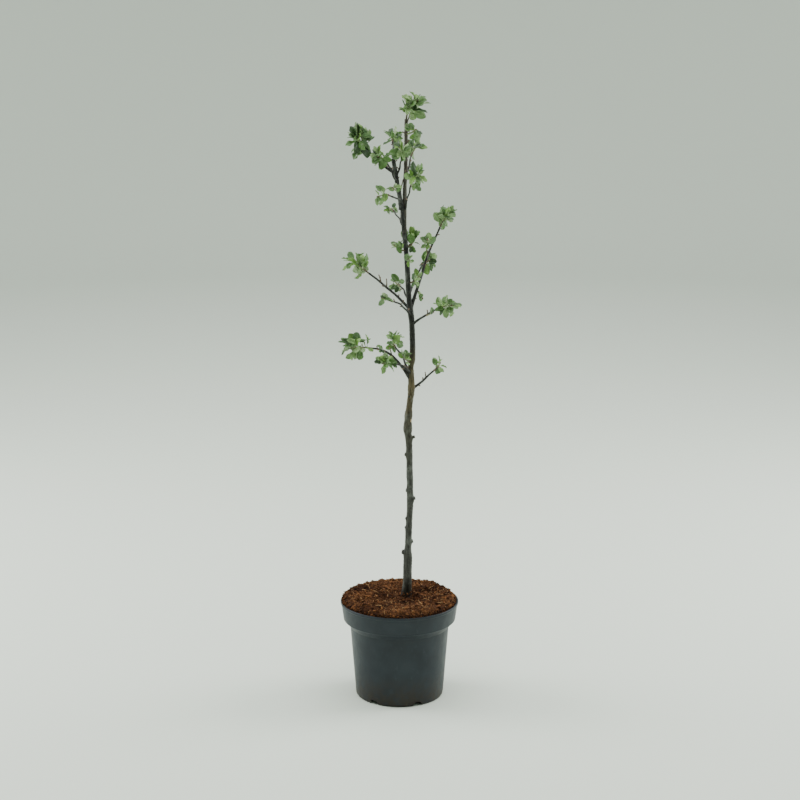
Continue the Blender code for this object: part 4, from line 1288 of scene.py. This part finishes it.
def add_stem(pile, stem, rng):
    """A mass's stem, knobbly with leaf scars, that ends in a bud."""
    line = [on_line(stem, ring / SHOOT_RINGS) for ring in range(SHOOT_RINGS + 1)]
    line[0] = line[0] - (line[1] - line[0]).normalized() * SHOOT_SUNK
    radii = []
    for ring in range(SHOOT_RINGS + 1):
        thick = SHOOT_R[0] + (SHOOT_R[1] - SHOOT_R[0]) * ring / SHOOT_RINGS
        knob = max(0.0, noise.noise(Vector((ring * 0.9, rng.random() * 0.2, 4.0))))
        radii.append(thick * (1 + SHOOT_KNOBS * knob))
    half = SHOOT_RINGS // 2
    add_tube(pile, line[:half + 1], radii[:half + 1], SHOOT_SIDES, "twig")
    add_tube(pile, line[half:], radii[half:], SHOOT_SIDES, "shoot")
    heading = (line[-1] - line[-2]).normalized()
    add_bud(pile, line[-1] - heading * BUD_SUNK, heading, SHOOT_BUD)


def build_foliage(lines):
    """Leaves, stalks and twigs of every mass, each kind joined."""
    segments = segments_of(lines)
    sides = [tint + part for tint in TINTS for part in ("", "_under")]
    leaves = {"low": Pile(*sides), "high": Pile(*sides)}
    masses = {"low": [], "high": []}
    stalks = Pile("petiole")
    twigs = Pile("twig", "shoot", "bud")
    upper, under, rim = blade_faces()
    for name, mass in MASSES.items():
        rng = random.Random(name + "_looks")
        stem, grown = grow(name, mass, lines, segments)
        grown = grown + grow_finer(name, mass, stem, grown, segments)
        part = "low" if mass.middle[2] * MILLI < PARTING_Z else "high"
        masses[part].append(name)
        add_stem(twigs, stem, rng)
        for leaf in grown:
            tint = rng.choices(TINTS, SMALL_TINT_SHARES if leaf.small else TINT_SHARES)[0]
            top, bottom, forward, down = blade_points(leaf, rng)
            leaves[part].add(
                [*top, *bottom], (upper, tint), (under, tint + "_under"), (rim, tint))
            add_petiole(stalks, leaf, forward, down, rng)
    for part, pile in leaves.items():
        pile.build(f"leaves_{part}", "foliage", masses[part])
    stalks.build("leaf_stalks", "foliage")
    twigs.build("twigs", "foliage")


# Pot and soil

def rounded(profile):
    """The profile with each inner corner turned into an arc."""
    corners = [Vector(corner) for corner in profile]
    made = [corners[0]]
    for before, corner, after in zip(corners, corners[1:], corners[2:]):
        back, on = before - corner, after - corner
        cut = min(EDGE_R, back.length * EDGE_SHARE, on.length * EDGE_SHARE)
        start, end = corner + back.normalized() * cut, corner + on.normalized() * cut
        made += [curve(start, corner, end, step / EDGE_STEPS) for step in range(EDGE_STEPS + 1)]
    return [*made, corners[-1]]


def turned(name, profile, steps):
    """A profile of radii and heights, turned round the upright axis."""
    mesh = bpy.data.meshes.new(name)
    edges = [(index, index + 1) for index in range(len(profile) - 1)]
    mesh.from_pydata([(point.x, 0.0, point.y) for point in profile], edges, [])
    made = placed(name, mesh)
    screw = made.modifiers.new("turn", "SCREW")
    screw.steps = steps
    screw.render_steps = steps
    screw.use_merge_vertices = True
    screw.merge_threshold = TURNED_MERGE
    screw.use_smooth_shade = True
    return made


def drain_cutter(number):
    """A box that narrows upward, with its upper edges rounded, at a place round the pot's foot."""
    length, top_width, floor_width, height = DRAIN_SIZE
    azimuth = DRAIN_PHASE - 90 + number * 360 / DRAIN_SLOTS
    narrows = top_width / floor_width
    shape = bmesh.new()
    bmesh.ops.create_cube(shape, size=1.0)
    bmesh.ops.scale(shape, vec=(length, floor_width, 2 * height), verts=shape.verts)
    for vert in shape.verts:
        vert.co.y *= narrows if vert.co.z > 0 else 2 - narrows
    upper = [edge for edge in shape.edges if all(vert.co.z > 0 for vert in edge.verts)]
    bmesh.ops.bevel(shape, geom=upper, offset=height * DRAIN_ROUND, segments=EDGE_STEPS,
                    affect="EDGES", profile=0.5)
    mesh = bpy.data.meshes.new(f"drain_{number}")
    shape.to_mesh(mesh)
    shape.free()
    cutter = placed(mesh.name, mesh)
    cutter.location = level(azimuth) * POT_FOOT_R
    cutter.rotation_euler.z = radians(azimuth)
    return cutter


def build_pot():
    pot = turned("nursery_pot", rounded((
        (0.0, POT_FLOOR),
        (POT_FOOT_R - POT_WALL, POT_FLOOR),
        (POT_LEDGE_R - POT_WALL, POT_LEDGE_Z + POT_WALL / 2),
        (COLLAR_FOOT_R - POT_WALL, COLLAR_FOOT_Z + POT_WALL),
        (COLLAR_TOP_R - POT_WALL, POT_HEIGHT - POT_WALL / 2),
        (COLLAR_TOP_R - POT_WALL / 2, POT_HEIGHT),
        (RIM_R - POT_WALL / 4, POT_HEIGHT),
        (RIM_R, POT_HEIGHT - POT_WALL / 2),
        (RIM_R, POT_HEIGHT - RIM_DEPTH + POT_WALL / 2),
        (COLLAR_TOP_R, POT_HEIGHT - RIM_DEPTH),
        (COLLAR_FOOT_R, COLLAR_FOOT_Z),
        (COLLAR_FOOT_R - POT_WALL, COLLAR_FOOT_Z - POT_WALL / 2),
        (POT_LEDGE_R, POT_LEDGE_Z),
        (POT_FOOT_R + FOOT_SWELL, FOOT_CHAMFER),
        (POT_FOOT_R - FOOT_INSET, 0.0),
        (0.0, 0.0),
    )), POT_STEPS)
    cutters = [drain_cutter(number) for number in range(DRAIN_SLOTS)]
    for cutter in cutters:
        cut = pot.modifiers.new(cutter.name, "BOOLEAN")
        cut.operation = "DIFFERENCE"
        cut.object = cutter
    graph = bpy.context.evaluated_depsgraph_get()
    mesh = bpy.data.meshes.new_from_object(pot.evaluated_get(graph))
    pot.modifiers.clear()
    pot.data = mesh
    for cutter in cutters:
        bpy.data.objects.remove(cutter, do_unlink=True)
    mesh.materials.append(FINISHES["pot_plastic"])
    mesh.shade_smooth()
    mesh.set_sharp_from_angle(angle=radians(SHARP_FROM))
    as_piece(pot, ["pot"])


def clamped(value):
    return min(1.0, max(0.0, value))


def sunk(azimuth):
    """How far the peat has sunk below the rim at an azimuth in radians."""
    middle, half, depth = SUNK_SIDE
    apart = (degrees(azimuth) - middle + 180) % 360 - 180
    return depth * exp(-((apart / half) ** 4))


def soil_height(radius, azimuth):
    """The mound's height: a seat round the trunk, a crest, a fall to the rim, lumps, hollows."""
    x, y = polar(radius, azimuth)
    rough = sum(tall * noise.noise(Vector((x / size, y / size, size / MILLI)))
                for size, tall in SOIL_LUMPS)
    left, starts, reach = CALM_MIDDLE
    rough *= left + (1 - left) * clamped((radius - starts) / reach)
    left, reach = CALM_RIM
    near_rim = clamped((COLLAR_TOP_R - radius) / reach)
    rough *= left + (1 - left) * near_rim
    height = np.interp(radius, *zip(*SOIL_PROFILE)) + rough
    heap, reach = HEAP
    height += heap * exp(-((hypot(x - TRUNK_BENDS[0][1], y) / reach) ** 2))
    for at_x, at_y, half_x, half_y, depth in HOLLOWS:
        height -= depth * exp(-((x - at_x) / half_x) ** 2 - ((y - at_y) / half_y) ** 2)
    return min(height - sunk(azimuth) * (1 - near_rim), SOIL_TOP_Z)


def soil_under(x, y):
    return soil_height(hypot(x, y), atan2(y, x))


def build_soil():
    """A mound of peat whose top is all lumps, down to its edge inside the pot's rim."""
    edge = COLLAR_TOP_R - POT_WALL - CLEAR
    azimuths = [tau * sector / SOIL_SECTORS for sector in range(SOIL_SECTORS)]
    points = [(0.0, 0.0, soil_height(0.0, 0.0))]
    for ring in range(1, SOIL_RINGS + 1):
        radius = edge * ring / SOIL_RINGS
        points += [(*polar(radius, azimuth), soil_height(radius, azimuth)) for azimuth in azimuths]
    down, back = SOIL_TUCK
    points += [(*polar(edge - back, azimuth), SOIL_EDGE_Z - down) for azimuth in azimuths]
    faces = [(0, 1 + sector, 1 + (sector + 1) % SOIL_SECTORS) for sector in range(SOIL_SECTORS)]
    for ring in range(SOIL_RINGS):
        low = 1 + ring * SOIL_SECTORS
        faces += band(low, low + SOIL_SECTORS, SOIL_SECTORS, True)
    faces.append(tuple(reversed(range(len(points) - SOIL_SECTORS, len(points)))))
    pile = Pile("peat")
    pile.add(points, (faces, "peat"))
    pile.build("peat", "soil", ["soil"])


def crumb_size(rng, skew, part=1.0):
    return CRUMB_R[0] + (CRUMB_R[1] - CRUMB_R[0]) * rng.random() ** skew * part


def add_crumb(pile, place, radius, finish, rng, detail=1):
    """A lump of peat: a ball squashed and knocked out of shape."""
    shape = bmesh.new()
    bmesh.ops.create_icosphere(shape, subdivisions=detail, radius=1.0)
    spin = rng.uniform(0, CRUMB_SPIN)
    axis = Vector([rng.gauss(0, 1) for _ in range(3)]).normalized()
    turn = Matrix.Rotation(spin, 3, axis)
    flat = Vector([rng.uniform(*sizes) for sizes in CRUMB_SHAPE])
    shift = Vector((rng.uniform(0, NOISE_FAR), 0, 0))
    knock, fine = CRUMB_KNOCKS
    points = []
    for vert in shape.verts:
        bulge = 1 + knock * noise.noise(vert.co * fine + shift)
        points.append(Vector(place) + (turn @ (vert.co * flat * bulge)) * radius)
    faces = [tuple(vert.index for vert in face.verts) for face in shape.faces]
    pile.add(points, (faces, finish))
    shape.free()


def add_lying_crumbs(pile, rng):
    """Crumbs all over the mound, more of them along the rim, and a few of them on it."""
    rim_share, past, strays = RIM_CRUMBS
    for _ in range(CRUMBS):
        azimuth = rng.uniform(0, tau)
        radius = COLLAR_TOP_R * sqrt(rng.random())
        size = crumb_size(rng, CRUMB_SKEW)
        low = sunk(azimuth) / SUNK_SIDE[2]
        if rng.random() < rim_share:
            radius = COLLAR_TOP_R + past - abs(rng.gauss(0, strays)) - SUNK_BACK[0] * low
        radius = min(radius, RIM_R - size * RIM_ROOM - SUNK_BACK[1] * low)
        x, y = polar(radius, azimuth)
        if hypot(x - TRUNK_BENDS[0][1], y) < TRUNK_ROOM:
            continue
        rim_z = POT_HEIGHT if radius > COLLAR_TOP_R - POT_WALL else 0
        z = max(soil_height(radius, azimuth), rim_z) + size * CRUMB_SINK
        finish = rng.choices(CRUMB_KINDS, CRUMB_SHARES)[0]
        add_crumb(pile, (x, y, z), size, finish, rng, 2 if size > FINE_CRUMB_R else 1)


def add_clinging_crumbs(pile, line, rng):
    """Crumbs on the bark of the trunk's foot."""
    count, high, top, skew, part = CLINGING
    for _ in range(count):
        azimuth = rng.uniform(0, 360)
        axis, radius = at_height(line, GROUND_Z + min(abs(rng.gauss(0, high)), top * high))
        size = crumb_size(rng, skew, part)
        finish = rng.choices(CRUMB_KINDS, CLINGING_SHARES)[0]
        add_crumb(pile, axis + level(azimuth) * (radius + size * CLING_SINK), size, finish, rng)


def add_fibre(pile, rng):
    """A curled fibre that follows the mound and ends at the pot's rim."""
    azimuth = rng.uniform(0, tau)
    x, y = polar((COLLAR_TOP_R - LITTER_IN[0]) * sqrt(rng.random()), azimuth)
    heading = rng.uniform(0, tau)
    curl = rng.gauss(0, FIBRE_CURL)
    length = rng.uniform(*FIBRE_LENGTH)
    high, often = FIBRE_WAVE
    line = []
    for step in range(FIBRE_STEPS + 1):
        if hypot(x, y) > COLLAR_TOP_R - POT_WALL:
            break
        lift = FIBRE_R + FIBRE_LIFT + high * sin(step * often)
        line.append(Vector((x, y, soil_under(x, y) + lift)))
        x += cos(heading) * length / FIBRE_STEPS
        y += sin(heading) * length / FIBRE_STEPS
        heading += curl / FIBRE_STEPS
    if len(line) > 3:
        thick = FIBRE_R * rng.uniform(*FIBRE_STRAY)
        finish = "fibre" if rng.random() < PALE_FIBRES else "crumb_rust"
        last = len(line) - 1
        radii = [thick * (1 - abs(step / last - 0.5)) for step in range(len(line))]
        add_tube(pile, line, radii, FIBRE_SIDES, finish)


def add_straw(pile, rng):
    """A short pale straw that lies across the lumps."""
    azimuth = rng.uniform(0, tau)
    radius = (COLLAR_TOP_R - LITTER_IN[1]) * sqrt(rng.random())
    start = Vector((*polar(radius, azimuth), 0.0))
    end = start + level(rng.uniform(0, 360)) * rng.uniform(*STRAW_LENGTH)
    for point in (start, end):
        point.z = soil_under(point.x, point.y)
        point.z += STRAW_R * rng.uniform(*STRAW_LIFTS)
    thick = STRAW_R * rng.uniform(*STRAW_STRAY)
    middle = start.lerp(end, 0.5) + UP * thick
    radii = [thick * part for part in STRAW_TAPER]
    add_tube(pile, [start, middle, end], radii, STRAW_SIDES, "fibre")


def build_litter(line):
    """Crumbs, fibres and straws of peat that lie on the mound and round the trunk's foot."""
    rng = random.Random("litter")
    crumbs = Pile(*CRUMB_KINDS)
    add_lying_crumbs(crumbs, rng)
    add_clinging_crumbs(crumbs, line, rng)
    crumbs.build("crumbs", "soil")
    fibres = Pile("fibre", "crumb_rust")
    for _ in range(FIBRES):
        add_fibre(fibres, rng)
    for _ in range(STRAWS):
        add_straw(fibres, rng)
    fibres.build("fibres", "soil")


# Studio

def add_light(name, place, aim, width, height, watts):
    lamp = bpy.data.lights.new(name, "AREA")
    lamp.shape = "RECTANGLE"
    lamp.size = width
    lamp.size_y = height
    lamp.energy = watts
    made = placed(name, lamp)
    made.location = place
    made.rotation_euler = (Vector(place) - Vector(aim)).to_track_quat("Z", "Y").to_euler()


def build_studio():
    """A round pale floor that sweeps up far away, soft lights and the camera."""
    sweep = [Vector((radius, 0.0)) for radius in (0.0, FLOOR_R / 2, FLOOR_R)]
    for step in range(1, BOWL_STEPS + 1):
        down, out = polar(1.0, pi / 2 * step / BOWL_STEPS)
        sweep.append(Vector((FLOOR_R + (BOWL_R - FLOOR_R) * out, BOWL_HEIGHT * (1 - down))))
    floor = turned("floor", sweep, FLOOR_STEPS)
    Finish("floor", 0.9, 0.1).finish(FLOOR_COLOUR)
    floor.data.materials.append(FINISHES["floor"])

    world = bpy.data.worlds.new("studio")
    world.use_nodes = True
    sky = world.node_tree.nodes["Background"]
    sky.inputs["Color"].default_value = SKY_COLOUR
    sky.inputs["Strength"].default_value = SKY_STRENGTH
    bpy.context.scene.world = world
    for name, light in LIGHTS.items():
        add_light(name, *light)

    lens = bpy.data.cameras.new("camera")
    lens.sensor_width = SENSOR
    lens.lens = CAMERA_FOCAL * SENSOR
    camera = placed("camera", lens)
    camera.location = CAMERA_AT
    camera.rotation_euler = (radians(90 - CAMERA_TILT), 0.0, 0.0)
    bpy.context.scene.camera = camera


def main():
    add_finishes()
    fine = all_lines(TRUNK_CELL, BOUGH_CELL)
    build_trunk(fine["trunk"])
    build_limbs(fine)
    build_spurs(fine)
    build_foliage(all_lines(TRUNK_RING))
    build_pot()
    build_soil()
    build_litter(fine["trunk"])
    build_studio()


main()
